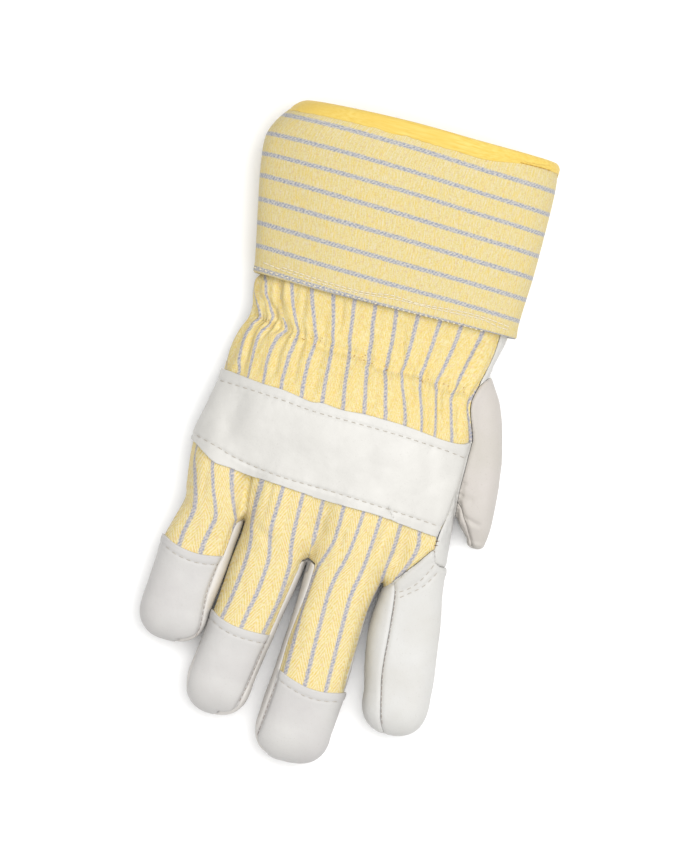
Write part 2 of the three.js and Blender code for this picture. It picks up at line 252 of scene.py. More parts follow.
def surfaceNet(distance, low, high, step):
    # quads on the zero surface of a distance function, one for each crossed edge of a grid
    axes = [np.arange(a, b + step, step) for a, b in zip(low, high)]
    grid = np.stack(np.meshgrid(*axes, indexing="ij"), -1)
    value = distance(grid.reshape(-1, 3)).reshape(grid.shape[:3])
    cells = np.array(value.shape) - 1
    number = lambda c: (c[:, 0] * cells[1] + c[:, 1]) * cells[2] + c[:, 2]
    owners, places, quads = [], [], []
    for axis in range(3):
        a = np.moveaxis(value, axis, 0)[:-1]
        b = np.moveaxis(value, axis, 0)[1:]
        crossed = np.moveaxis((a < 0) != (b < 0), 0, axis)
        a, b = (np.moveaxis(v, 0, axis)[crossed] for v in (a, b))
        corner = np.argwhere(crossed)
        place = corner.astype(float)
        place[:, axis] += a / (a - b)
        sides = [(axis + 1) % 3, (axis + 2) % 3]
        inner = np.all((corner[:, sides] > 0) & (corner[:, sides] < cells[sides]), axis=1)
        ring = []
        for back in ((1, 1), (0, 1), (0, 0), (1, 0)):
            cell = corner[inner].copy()
            cell[:, sides] -= back
            ring.append(number(cell))
            owners.append(ring[-1])
            places.append(place[inner])
        ring = np.stack(ring, 1)
        quads.append(np.where((a[inner] < 0)[:, None], ring, ring[:, ::-1]))
    owners, places = np.concatenate(owners), np.concatenate(places)
    used, back = np.unique(owners, return_inverse=True)
    count = np.bincount(back)
    points = np.stack([np.bincount(back, places[:, k]) / count for k in range(3)], 1)
    return points * step + np.array(low), np.searchsorted(used, np.concatenate(quads))


def settle(distance, points, quads, rounds=3):
    # evens the mesh out along the surface and keeps it on it
    ends = np.concatenate([quads[:, [k, (k + 1) % 4]] for k in range(4)])
    size = len(points)
    count = np.maximum(np.bincount(ends[:, 0], minlength=size)[:, None], 1)
    pull, tiny, least = 0.6, 0.05, 0.2  # share of the way, probe in mm, smallest slope squared
    for _ in range(rounds):
        others = points[ends[:, 1]]
        total = np.stack([np.bincount(ends[:, 0], others[:, k], size) for k in range(3)], 1)
        points = points + pull * (total / count - points)
        for _ in range(2):
            value = distance(points)
            slope = [(distance(points + tiny * way) - value) / tiny for way in np.eye(3)]
            slope = np.stack(slope, 1)
            steep = np.maximum((slope**2).sum(1), least)
            points = points - slope * np.clip(value / steep, -1, 1)[:, None]
    return points


def meshNormals(points, triangles):
    a, b, c = (points[triangles[:, k]] for k in range(3))
    face = np.cross(b - a, c - a)
    normal = np.zeros_like(points)
    for k in range(3):
        for j in range(3):
            normal[:, j] += np.bincount(triangles[:, k], face[:, j], len(points))
    return normal / np.maximum(np.linalg.norm(normal, axis=1), 1e-9)[:, None]


meshing = {  # in mm; the box holds the fingers spread apart
    "step": 0.78, "low": (-76, -147, -1.6), "high": (76, 63, 44),
}
spreadDistance = lambda p: gloveDistance(unspread(p))
bodyPoints, bodyQuads = surfaceNet(
    spreadDistance, meshing["low"], meshing["high"], meshing["step"]
)
bodyPoints = unspread(settle(spreadDistance, bodyPoints, bodyQuads))
bodyTriangles = np.concatenate([bodyQuads[:, [0, 1, 2]], bodyQuads[:, [0, 2, 3]]])
print("glove form:", len(bodyPoints), "points")

# Where the pieces meet: seams as [x, y] places, seen from above. The functions below give each
# point its distance from a seam, above zero on the side of the piece that they are named for.

sideSeam = 13.5  # height of the seam between back and underside
flankSeam = 19  # where leather comes up round a finger to the cotton
handFlank = {"height": 24, "drop": 16, "over": (6, 11)}  # and beside the hand, lower at the cuff
flankReach = 6  # how far inside the seam it can lie
thumbSide = 11.5  # height of the thumb's own seam
sheetEnd = 60.5  # y where the sheets end inside the cuff
crossSeam = 0.72  # share of a distance along y that is across the index finger's slanting seam
thumbSeam = {
    "x": 52.1, "y": 35.6, "slope": 1.27, "most": 40, "least": -40, "across": 0.7, "edgeAcross": 0.8,
}
indexSide = {"drop": 5, "over": (44, 50), "elsewhere": -20.0}  # it reaches lower beside the thumb
strapAbove = 0.2  # how far above the side seam the strap ends
upperOver = (sideSeam + 3, sideSeam + 9)  # the heights over which the folds of the top set in

handRight = lineAlongY([[46.2, -41.5], [46.2, -35], [47.3, -28.7], [48.5, -22.7], [49.3, -16.1],
    [50.3, -11.5], [50.8, 0], [50.8, 7.5], [49.2, 13], [47, 19.5], [46.5, 24.3], [48.2, 31.7],
    [50.8, 42.4], [51.6, 50], [52, 70]])
indexTop = lineAlongX([[26, -61.5], [29.2, -60.6], [33, -56.8], [36, -53], [40, -48], [43, -44],
    [46.2, -40.5], [47.2, -45.2], [53, -47], [70, -47.5]])
littleRight = lineAlongY([[-44, -106], [-41.4, -96], [-41.8, -82.5], [-41.2, -75], [-40, -66.5],
    [-39, -63], [-38.3, -58], [-37.6, -52.4], [-36.6, -49], [-34.4, -46.5], [-33, -42]])
ringRight = lineAlongY([[-22, -135], [-17.4, -120], [-14.6, -105], [-12.2, -90], [-9.6, -75],
    [-7.2, -62], [-6.3, -57.8], [-3.7, -56.6], [0, -56.1]])
middleLeft = lineAlongY([[-9, -146], [-6.6, -122], [-5.0, -106], [-4.2, -90], [-1.6, -70],
    [-0.9, -59], [-1.3, -57.6], [-3.7, -56.6], [-7, -56.1]])
middleRight = lineAlongY([[27.8, -146], [26.5, -112], [23.6, -105], [24.2, -88], [24.9, -74],
    [27.9, -62], [30, -57], [34, -50]])
indexLeft = lineAlongY([[30, -52], [33.4, -58], [34.9, -66], [36, -80], [37, -95], [39.5, -108],
    [42, -117], [48, -126]])
thumbLeft = lineAlongY([[55, -45], [54.8, -36], [53.6, -30], [51.9, -25.5], [51.3, -20],
    [50.8, -12], [50.8, 0], [50.8, 7.5], [49.2, 13], [47, 19.5], [46.5, 24.3], [48.2, 31.7],
    [50.3, 40], [51, 42]])
thumbEdge = lineAlongX([[40, -13.5], [48, -16.5], [52, -19.5], [55.9, -25.3], [60.3, -33.3],
    [66, -44]])
strapTop = lineAlongX([[-70, 13.2], [-58, 12.3], [-50, 11.2], [-40, 10], [-30, 9.4], [-18, 7.4],
    [-14, 8.0], [-5, 7.2], [5, 7.7], [22, 7], [33, 5.7], [40, 5.0], [47, 5.4], [51.5, 8.2]])
strapBottom = lineAlongX([[-72, -16.5], [-64.5, -18.6], [-60, -21], [-57, -23.2], [-52, -26.4],
    [-45, -27.1], [-36, -28], [-25, -29], [-10, -30.3], [0, -31], [20, -31.8], [30, -33], [46, -35],
    [52, -35.6]])
strapRight = lineAlongY([[45.8, -37], [45.8, -35], [47.0, -28.7], [48.2, -22.7], [49.0, -16.1],
    [50.0, -11.5], [50.5, 0], [50.8, 6], [51.8, 8.5], [52, 10]])
tipTops = {
    "little": lineAlongX([[-72, -59.5], [-65.5, -61], [-60, -63.5], [-54, -65], [-48, -65.3],
        [-41, -64.3], [-35, -62.6]]),
    "ring": lineAlongX([[-44, -85], [-38, -87], [-34, -89.2], [-28, -91], [-20, -91.7],
        [-11.5, -91.5], [-6, -91.2]]),
    "middle": lineAlongX([[-12, -103.8], [-5, -104.6], [0, -106.6], [7, -108.7], [14, -109.3],
        [20, -108.5], [25, -107.4], [32, -106]]),
}
frontTops = {"little": -46, "ring": -52.5, "middle": -55.5, "index": -58.5}


def laneOf(x, y):
    return sum((x > line(y)).astype(int) for line in gapLines)


def upperSide(z):
    return smoothStep(z, *upperOver)


def overBack(points):
    # above zero on the upper side that the cotton and the three fingertips cover
    x, y, z = points.T
    lane = laneOf(x, y)
    flank = handFlank["height"] - handFlank["drop"] * smoothStep(y, *handFlank["over"])
    value = z - sideSeam
    # where the seam runs on top, its inner side there, and how high leather comes up to it
    for where, inside, height in (
        ((x > 25) & (y > -50), handRight(y) - x, flank),
        ((lane == 3) & (y < -36), (y - indexTop(x)) * crossSeam, None),
        ((lane == 0) & (y < -40), littleRight(y) - x, flankSeam),
        ((lane == 1) & (y < -54), ringRight(y) - x, flankSeam),
        ((lane == 2) & (y < -54), x - middleLeft(y), flankSeam),
        ((lane == 2) & (y < -50), middleRight(y) - x, None),
    ):
        if height is not None:
            inside = np.minimum(inside, np.maximum(inside - flankReach, z - height))
        value = np.where(where, np.minimum(value, inside), value)
    return value


seamSlit = {  # half the open widths, in mm
    "hand": 0.0, "fingers": 0.1, "besideThumb": 0.32, "thumbOver": (-40, -36), "thumbFrom": 35,
    "crotches": [  # x, y, half width, half height, how much wider
        [-34.5, -46.6, 1.3, 1.3, 0.5], [-3.7, -57.0, 2.6, 1.5, 2.2],
    ],
    "thumb": 0.1, "thumbHalves": 0.12, "index": 0.08,
}


def slit(points):
    # half the open width of the seam between the back and the leather
    x, y, z = points.T
    low, high = seamSlit["thumbOver"]
    besideThumb = x > seamSlit["thumbFrom"]
    narrow, wider = seamSlit["fingers"], seamSlit["besideThumb"]
    wide = narrow + (wider - narrow) * smoothStep(y, low, high) * besideThumb
    wide = wide - (narrow - seamSlit["hand"]) * (y > low) * (x < seamSlit["thumbFrom"])
    for ax, ay, halfWide, halfHigh, more in seamSlit["crotches"]:
        away = np.hypot((x - ax) / halfWide, (y - ay) / halfHigh)
        wide = wide + more * bell(away, 1) * (z > sideSeam)
    return wide


def overTips(points, under=0):
    # under moves the edge down the finger, for what goes on under the fingertip
    x, y, _ = points.T
    lines = [tipTops[name](x) for name in fingers[:3]] + [np.full(len(x), -400.0)]
    return np.choose(laneOf(x, y), lines) - under - y


def overIndex(points):
    x, y, z = points.T
    above = z - sideSeam + indexSide["drop"] * smoothStep(x, *indexSide["over"])
    value = np.minimum(np.minimum(above, (indexTop(x) - y) * crossSeam), x - indexLeft(y))
    return np.where(laneOf(x, y) == 3, value, indexSide["elsewhere"])


def overThumb(points):
    x, y, _ = points.T
    # its seam to the palm slants, then runs level
    top = thumbSeam["y"] + thumbSeam["slope"] * (x - thumbSeam["x"])
    inside = (np.minimum(top, thumbSeam["most"]) - y) * thumbSeam["across"]
    return np.minimum(x - thumbLeft(y), np.minimum(inside, y - thumbSeam["least"]))


def overThumbBack(points):
    x, y, z = points.T
    return np.minimum((y - thumbEdge(x)) * thumbSeam["edgeAcross"], z - thumbSide)


def overFronts(points):
    x, y, _ = points.T
    return np.choose(laneOf(x, y), [np.full(len(x), frontTops[name]) for name in fingers]) - y


def overStrap(points):
    x, y, z = points.T
    value = np.minimum(strapTop(x) - y, y - strapBottom(x))
    return np.minimum(value, np.minimum(strapRight(y) - x, z - sideSeam - strapAbove))


# The stripes' places give every point of the cotton its place across the weave.

wristLine = lineAlongX([  # where the elastic is sewn on
    [-62, 38], [-50, 37], [-35, 34], [-18, 32], [0, 30], [30, 28], [45, 27], [60, 26.5],
])
stripePitch = 8.8
striping = {
    "fingersPart": (47, 57),  # -y past the crotches, where each finger has its own lines
    "outerEdge": 3.5, "outerRate": 0.8,  # where the outer side begins, stripes to a pitch down it
    "outerFinger": (38, 48), "outerMost": 0.999,  # -y where it goes over to the little finger's
    "half": 0.09, "steepFrom": 1.5, "steepMost": 3,  # half a stripe in pitches, its widening
    # above the wrist the third stripe is tucked into a fold: where, how wide, what still shows
    "tucked": 2, "tuckFrom": (36.5, 39.5), "tuckReach": 0.9, "tuckShows": 0.03, "tuckOpens": 0.13,
    "hidden": 38.5, "hiddenTo": 0.16,  # y from which it is hidden whole, how far beside it
    "kink": 1.3, "kinkSize": 4.2, "kinkReach": 5,  # the elastic draws the stripes sideways
}
stripes = [  # each line's [x, y] places from the cuff down
    [[-54, 60], [-54, 50], [-51, 43], [-49, 38], [-51.5, 33], [-53, 27], [-53, 18], [-51, 12],
     [-53, 4], [-58, -10], [-61, -20], [-59.8, -28], [-58, -36], [-56, -43], [-55.5, -48],
     [-56.5, -53], [-57.5, -58], [-58, -63], [-58.5, -75]],
    [[-50, 60], [-50, 53], [-48.5, 47], [-46.6, 43], [-43.7, 38.5], [-45, 34], [-47, 30],
     [-47.7, 25], [-47.6, 18], [-47, 11], [-48, 0], [-51, -15], [-52.5, -26.5], [-51, -33],
     [-49.5, -38], [-47.2, -44], [-46, -49], [-47, -54], [-48.3, -60], [-48.7, -65], [-49, -75]],
    [[-44, 60], [-44, 54], [-42.5, 47], [-40, 41], [-37, 36], [-38.5, 31], [-40, 27], [-40.8, 20],
     [-40, 10.5], [-41, -5], [-44, -27.5], [-43, -33], [-41.3, -38], [-39, -44], [-37, -49],
     [-36.5, -54], [-36.5, -60], [-37.5, -65], [-39, -75]],
    [[-39, 60], [-38.5, 54], [-36.5, 47], [-33.5, 40], [-31, 35], [-31, 31], [-32, 25],
     [-32.3, 20], [-32.5, 14], [-32, 10], [-31, -5], [-30.5, -29], [-31, -40], [-31, -48],
     [-29.7, -53], [-29.3, -60], [-30, -68], [-31, -76], [-32.7, -85], [-33.5, -89], [-34.5, -99]],
    [[-30, 60], [-29.5, 54], [-27.5, 47], [-25, 40], [-23.2, 34], [-23, 31], [-23.6, 25],
     [-23.6, 18], [-23, 8.5], [-22, -5], [-21.5, -30], [-22, -40], [-22.3, -48], [-21.7, -53],
     [-20.3, -60], [-20.8, -68], [-21.8, -76], [-23.5, -84], [-24.7, -91], [-25.5, -100]],
    [[-20.7, 60], [-20, 53], [-18, 45], [-16.5, 38], [-15.5, 32], [-15, 25], [-14.8, 18],
     [-14, 8.5], [-13, -5], [-12.7, -31], [-12.7, -45], [-12.3, -53], [-11.2, -60],
     [-11.3, -68], [-12, -76], [-13.5, -84], [-15, -91], [-16, -100]],
    [[-11.6, 60], [-11, 53.5], [-10, 45], [-9, 36], [-7.5, 30], [-7, 22], [-6, 14], [-5, 8],
     [-4.5, -5], [-4, -31], [-4, -46]],
    [[-2.7, 60], [-2, 53], [-1.2, 45], [0, 38], [0.5, 30], [1.5, 22], [3, 14], [4, 8], [4.5, -5],
     [5, -32], [4.7, -45], [3, -52], [0, -60], [-1.6, -68], [-2, -76], [-2, -90], [-2.3, -105],
     [-2.5, -118]],
    [[6.3, 60], [7, 53], [8, 45], [8.5, 36], [8.5, 28], [10, 22], [11.8, 14], [13.2, 8],
     [13.5, -5], [13.7, -32], [13, -40], [12, -48], [10.5, -55], [9, -60], [7.5, -68],
     [7.2, -76], [7, -90], [7, -108], [7, -118]],
    [[16.3, 60], [16.3, 53], [16.2, 40], [16, 32], [15.8, 27], [17.5, 22], [20, 15], [21.8, 8],
     [21.7, -5], [21, -32], [20, -45], [19, -55], [17.2, -64], [16.5, -70], [16.2, -85],
     [16, -109], [16, -118]],
    [[26.2, 60], [25.8, 53], [25.2, 45], [24.3, 36], [23.5, 28], [24.7, 22], [27, 15], [29, 7],
     [29.7, -5], [30, -33], [29.5, -45], [28, -58], [26.5, -66], [25.5, -74], [25, -109]],
    [[35, 60], [34.8, 53], [34, 45], [32.3, 36], [31, 28], [31.8, 22], [33.5, 14], [35, 6],
     [37, -10], [38, -33], [39.2, -40], [38, -46], [34, -55], [30, -62]],
    [[44.5, 60], [44.2, 53], [42.5, 45], [40.5, 36], [38.5, 28], [38, 23], [39.8, 15],
     [42.5, 5.5], [44.5, -8], [46.5, -33], [48, -42], [45, -55], [39, -64]],
    [[55.5, 60], [55.5, 53], [54.6, 45], [52, 36], [49, 29], [46.6, 25], [46.0, 21.5], [47.5, 17],
     [49.3, 12.5], [50.5, 9], [52.5, -8], [54, -33], [56, -42], [54, -55], [48, -66]],
]
stripeLines = [lineAlongY(points) for points in stripes]
laneStripes = [(0, 2), (3, 5), (7, 10), (11, 13)]  # first and last line of each finger


def outerSide(x, y):
    # the edge of the hand's or little finger's outer side, and how high the form is at x
    toFinger = smoothStep(-y, *striping["outerFinger"])
    most = striping["outerMost"]
    found = []
    for name in ("hand", "little"):
        left, right, _, mid, top = section(glove[name], y)
        across = np.clip(np.abs(x * 2 - left - right) / (right - left), 0, most)
        power = glove[name]["powers"][0]
        found.append((left, mid + (top - mid) * (1 - across**power) ** (1 / power)))
    return [a * (1 - toFinger) + b * toFinger for a, b in zip(*found)]


def acrossWeave(points, normals):
    # millimetres across the cotton, a whole number of pitches at each stripe
    x, y, z = points.T
    lane = laneOf(x, y)
    apart = smoothStep(-y, *striping["fingersPart"])
    places = np.array([line(y) for line in stripeLines])
    edge, _ = outerSide(x, y)
    pick = np.arange(len(x))
    result = np.zeros(len(x))
    for which, (first, last) in enumerate(laneStripes):
        own = places.copy()
        for k in range(first - 1, -1, -1):
            own[k] = own[k] * (1 - apart) + (own[k + 1] - stripePitch) * apart
        for k in range(last + 1, len(own)):
            own[k] = own[k] * (1 - apart) + (own[k - 1] + stripePitch) * apart
        own = np.maximum.accumulate(own, axis=0) + np.arange(len(own))[:, None] * 1e-3
        k = np.clip((own[1:-1] <= x).sum(0), 0, len(own) - 2)
        low, high = own[k, pick], own[k + 1, pick]
        value = k + (x - low) / (high - low)
        # down the outer side, from the first stripe or just inside the edge
        start = np.maximum(own[0], edge + striping["outerEdge"])
        drop = np.maximum(outerSide(start, y)[1] - z, 0)
        down = striping["outerRate"] * np.hypot(x - start, drop) / stripePitch
        beyond = (start - own[0]) / (own[1] - own[0]) - down
        value = np.where(x < start, beyond, value)
        result = np.where(lane == which, value, result)
    # a stripe keeps its width where the cloth slopes away
    steep = np.hypot(normals[:, 0], normals[:, 2]) / np.maximum(np.abs(normals[:, 2]), 0.05)
    grow = np.clip(steep / striping["steepFrom"], 1, striping["steepMost"])
    half = striping["half"]
    off = np.abs(result - np.round(result))
    outside = half * grow + (off - half) * (0.5 - half * grow) / (0.5 - half)
    eased = np.where(off < half, off * grow, outside)
    result = np.round(result) + np.sign(result - np.round(result)) * eased
    place = result - striping["tucked"]
    reach, shows, opens = (striping[key] for key in ("tuckReach", "tuckShows", "tuckOpens"))
    tucked = smoothStep(y, *striping["tuckFrom"]) * (np.abs(place) < reach)
    opened = np.abs(place) - shows
    opened = np.sign(place) * (opens + opened * ((reach - opens) / (reach - shows)))
    opened = np.where(np.abs(place) < shows, place * (opens / shows), opened)
    result = result + tucked * (opened - place)
    drawn = noise3(np.column_stack([x * 0.6, y, 0 * x]), striping["kinkSize"], 31)
    drawn = drawn * bell(y - wristLine(x), striping["kinkReach"])
    return result * stripePitch + striping["kink"] * drawn * upperSide(z)


# Folds, dents and seams pressed into the form.

indexSeams = [  # two rows of stitches across the index finger's back
    [[36.3, -63.7], [41.2, -59.9], [44.4, -57.3], [47.3, -53.5], [49.7, -49.1], [50.9, -45.8]],
    [[35.4, -61.4], [39.4, -59], [43.1, -55], [45.8, -50.4], [47.8, -46.1]],
]
clothFolds = [  # [x, y] places along each, half width, depth; below nought it stands up
    # over the wrist, under the cuff's edge
    [[[-46, 59], [-44, 48], [-41.5, 38]], (1.2, 2.6), 0.9], [[[-41.5, 58], [-39.5, 44]], 1.6, -0.5],
    [[[-50, 46], [-46, 42.5], [-41, 38], [-36, 34]], 1.4, 0.9],
    [[[-33, 57], [-31, 46], [-29, 38]], 1.3, 0.45],
    [[[-16, 54], [-14.4, 43], [-14.8, 35]], 1.0, 0.8], [[[0, 56], [1.5, 46], [3, 37]], 1.2, 0.4],
    [[[11, 50], [12.5, 41], [15, 32]], 1.0, 0.8], [[[29, 52], [28, 42], [27, 33]], 1.2, 0.45],
    [[[46, 50], [42, 38], [40, 32]], 1.3, 0.5],
    # under the elastic
    [[[-50, 32], [-50.5, 22], [-50, 10]], 1.6, 0.7],
    [[[-42, 32], [-43.5, 22], [-43.5, 12]], 1.3, 0.4],
    [[[-35, 33], [-36.5, 24], [-36.5, 12]], 1.5, 0.6],
    [[[-27.5, 33], [-28.2, 22], [-27.5, 11]], 1.3, 0.55],
    [[[-18.5, 33], [-19, 22], [-18.5, 10]], 1.3, 0.4],
    [[[-10.8, 31], [-10, 21], [-8.7, 8]], 1.2, 0.5],
    [[[3.5, 31], [4.2, 26], [6.4, 17], [7.5, 8]], 1.1, 0.7],
    [[[15.5, 29], [17, 24.4], [20.7, 13.7], [22.5, 4]], 1.1, 0.95],
    [[[26.2, 27], [27.7, 21], [30, 11.6], [31.5, 4]], 1.0, 0.6],
    [[[32, 27], [33.5, 21], [35.5, 13], [37.5, 4]], 1.0, 0.8],
    [[[40.5, 26], [42.1, 20], [44, 12], [45.5, 5]], 0.9, 0.6],
    # below the strap
    [[[-36.8, -14], [-36, -29], [-35.8, -35], [-35.1, -41], [-34.2, -50]], (2.4, 0.8), 2.8],
    [[[-26.5, -26], [-26.6, -40], [-26, -48]], 1.5, 0.6],
    [[[-17.5, -27], [-17.5, -40], [-16.5, -50]], 1.6, 0.4],
    [[[-1.5, -28], [-2, -37], [-4, -48], [-3.6, -60]], 2.4, 1.5],
    [[[9, -28], [8.3, -38], [6.5, -52]], 1.4, 0.6],
    [[[17.5, -28], [17, -40], [15, -54]], 1.4, 0.45],
    [[[25, -29], [24, -40], [22, -52]], 1.4, 0.7], [[[33, -30], [32, -44], [28.5, -62]], 2.2, 1.0],
    [[[43, -33], [42, -40], [39, -48]], 1.2, 0.5],
    [[[-55, -22], [-54, -36], [-52, -48]], 1.6, 0.45],
    [[[-30, -48], [-25, -51], [-19, -55]], 2.2, 0.7], [[[-64, -45], [-56, -47]], 2.0, 0.5],
]
bodyFolds = [
    [[[-48.5, 10], [-49, -4], [-50, -20]], 5.5, 1.9], [[[7, 2], [15, -24]], 4.5, 0.6],
    [[[33, 6], [39, -20]], 3.5, 0.7], [[[22, -26.5], [24, -29], [26.5, -32]], 0.7, 0.7],
    [[[-3.9, -56], [-4.2, -59], [-4.6, -63]], 0.7, 1.6],
    # thumb
    [[[54, -24], [59.6, -25.8], [64, -26.8]], 1.1, 0.9], [[[51, -16.5], [58.5, -17.2]], 1.6, 0.5],
    [[[49.5, -11], [53, -10.2]], 0.7, 0.6], [[[50.3, -16.4], [53, -15.2]], 0.7, 0.6],
    # index and little finger
    [indexSeams[0], 0.8, 0.4], [indexSeams[1], 0.8, 0.35],
    [[[48.5, -37], [51, -31]], 1.2, 0.5], [[[35, -63], [44, -53]], 1.4, 0.4],
    [[[-41, -60], [-39.5, -68], [-41.5, -82]], 1.0, 0.4],
]


def alongFold(points, line, width):
    # 1 on the fold's line, falling to nought beside it and at both ends; a pair of widths is for
    # its left and its right side
    line = np.array(line, float)
    left, right = width if isinstance(width, tuple) else (width, width)
    reach, fade = 4, 0.25  # how many widths it is felt over, and its ends as a share of its length
    low, high = line.min(0) - reach * left, line.max(0) + reach * left
    near = np.all((points[:, :2] > low) & (points[:, :2] < high), axis=1)
    flat = points[near, :2]
    runs = np.linalg.norm(np.diff(line, axis=0), axis=1)
    away, share = np.full(len(flat), 1e3), np.zeros(len(flat))
    side = np.ones(len(flat))
    for start, end, before, run in zip(line, line[1:], np.cumsum(runs) - runs, runs):
        t = np.clip((flat - start) @ (end - start) / run**2, 0, 1)
        off = flat - start - t[:, None] * (end - start)
        distance = np.linalg.norm(off, axis=1)
        nearer = distance < away
        share = np.where(nearer, (before + t * run) / runs.sum(), share)
        side = np.where(nearer, off[:, 0], side)
        away = np.minimum(away, distance)
    result = np.zeros(len(points))
    result[near] = bell(away, np.where(side < 0, left, right))
    result[near] *= smoothStep(share, 0, fade) * smoothStep(1 - share, 0, fade)
    return result


relief = {  # depths and the widths that they fade over, in mm
    "backSeam": (0.9, 1.0), "indexSeam": (0.6, 0.9), "thumbSeam": (0.9, 1.1),
    "thumbHalves": (0.8, 0.9),
    "thumbTo": (42, 30),  # y and height that the thumb's seam stays below
    # the seam is shallower where fingers lie close together
    "besideFinger": 0.8, "gapWidth": 2.5, "gapOver": (46, 54),
    # the hand lies lower on its outer side
    "outerDrop": 1.6, "outerOver": (28, 54), "outerFrom": (6, 20),
    # beside the thumb
    "crumple": 0.35, "crumpleSize": 1.9, "crumpleAt": 50.5, "crumpleWidth": 3.5,
    "crumpleFrom": (-52, -44), "crumpleTo": (6, 12),
    "largeBumps": (0.3, 14), "smallBumps": (0.12, 6),  # height and size
}
gathers = {  # of the cotton alone
    "aboveHand": (0, 8), "deeper": 0.5,  # y over which folds get deeper to the cuff, by this share
    # a sway is how much and over which size
    "wave": 0.5, "waveWidth": 15, "waveSway": (2.2, 13),  # a fold for each stripe
    "fine": 0.7, "finePitch": 3.4, "fineWidth": 4, "fineSway": (1.7, 7),  # puckers at the elastic
    "fineVaries": (0.8, 0.9, 7),  # their mean strength, how much it varies and over which size
    "groove": 1.2, "grooveWidth": 1.9, "grooveSway": (0.9, 5),  # the elastic's own line
    "crinkle": (0.3, 0.15), "crinkleSize": 4.5,  # everywhere, and more above the strap
    "fromSeam": 4, "fromTips": 6,  # how far from its borders it is pulled flat
}


def pressed(points):
    # how far each point of the form stands out, at the seams and the folds of all its layers
    x, y, z = points.T
    upper = upperSide(z)
    out = np.zeros(len(points))
    for line, width, depth in bodyFolds:
        out -= depth * alongFold(points, line, width) * upper
    back, thumb = overBack(points), overThumb(points)
    between = sum(bell(x - line(y), relief["gapWidth"]) for line in gapLines)
    between = np.minimum(between * smoothStep(-y, *relief["gapOver"]), 1)
    between = relief["besideFinger"] * between
    mostY, mostZ = relief["thumbTo"]
    for key, where, field, less in (
        ("backSeam", True, back, between),
        ("indexSeam", back < -0.4, overIndex(points), 0),
        ("thumbSeam", (y < mostY) & (z < mostZ), thumb, 0),
        ("thumbHalves", thumb > 0, overThumbBack(points), 0),
    ):
        depth, width = relief[key]
        out -= (depth - less) * bell(np.where(where, field, join["farAway"]), width)
    outer = relief["outerDrop"] * smoothStep(-x, *relief["outerOver"])
    out -= outer * smoothStep(y, *relief["outerFrom"]) * upper
    strip = bell(x - relief["crumpleAt"], relief["crumpleWidth"]) * (back < 0)
    strip = strip * smoothStep(y, *relief["crumpleFrom"]) * smoothStep(-y, *relief["crumpleTo"])
    return out + relief["crumple"] * noise3(points, relief["crumpleSize"], 41) * strip


def gathered(points, across):
    # what the cotton alone does: its folds, and how the elastic in the wrist draws it up
    x, y, z = points.T
    aboveHand = smoothStep(y, *gathers["aboveHand"])
    sway = {}
    for key in ("waveSway", "fineSway", "grooveSway"):
        far, size = gathers[key]
        sway[key] = far * np.sin(across / size)
    out = np.zeros(len(points))
    for line, width, depth in clothFolds:
        out -= depth * alongFold(points, line, width) * (1 + gathers["deeper"] * aboveHand)
    fromWrist = y - wristLine(x)
    wave = np.cos(2 * np.pi * across / stripePitch + sway["waveSway"])
    fine = np.cos(2 * np.pi * across / gathers["finePitch"] + sway["fineSway"])
    mean, varies, size = gathers["fineVaries"]
    fine *= mean + varies * noise3(np.column_stack([x, y, 0 * x]), size, 33)
    out += gathers["wave"] * wave * bell(fromWrist, gathers["waveWidth"])
    out += gathers["fine"] * fine * bell(fromWrist, gathers["fineWidth"])
    out -= gathers["groove"] * bell(fromWrist + sway["grooveSway"], gathers["grooveWidth"])
    least, more = gathers["crinkle"]
    crinkle = noise3(points * [1.6, 0.5, 1], gathers["crinkleSize"], 3)
    out += crinkle * (least + more * aboveHand)
    out = np.where(overStrap(points) > 0, np.minimum(out, 0), out)
    back = overBack(points)
    fade = np.where(back > 0, smoothStep(back, 0, gathers["fromSeam"]), 0)
    return out * upperSide(z) * fade * smoothStep(-overTips(points), 0, gathers["fromTips"])


# The cuff's form, which the ends of the other pieces are sewn into.

cuff = {
    "rows": [  # y, left, right, bottom, height where widest, top
        [50, -54.2, 58.2, 0, 19, 40.2], [64, -56.4, 58.6, 0, 20, 41.5],
        [80, -59.4, 59.6, 0, 21, 43.5], [98, -62.6, 60.0, 0, 22, 46],
        [112, -63.6, 60.1, 0.6, 23, 48], [120, -60.8, 59.9, 1.2, 23.5, 49],
        [126, -56.4, 59.3, 1.2, 24, 49.5], [133, -48.4, 57.6, 1.2, 24.5, 50],
    ],
    "powers": (2.3, 2.8),  # how square its upper and its lower half are
    "bottom": 54.0, "middle": 95.0, "rim": 129.6, "wall": 1.9,
    "outerFall": 2.6, "fallOver": (18, 60), "fallFrom": (22, 40), "fallEnds": (108, 122),
    "sewnIn": (57, 60),  # y over which the sheets reach into its wall
    "ring": 1.5, "count": 260,  # mm between rings, points round each
    # its turned lower edge, as y from its bottom and grow
    "turned": [(0.1, -0.9), (-0.5, -0.5), (-0.6, 0.1)], "lip": 0.54, "lipWidth": 3.0,
    "rimRound": 0.5, "uneven": 0.35, "unevenSize": 20, "unevenFrom": (6, 16), "stripePitch": 9.3,
}
cuff["at"], cuff["columns"] = smoothTable(cuff["rows"])


def outerFall(x, z):
    # how much lower the top of the cuff's outer side hangs
    return cuff["outerFall"] * smoothStep(-x, *cuff["fallOver"]) * smoothStep(z, *cuff["fallFrom"])


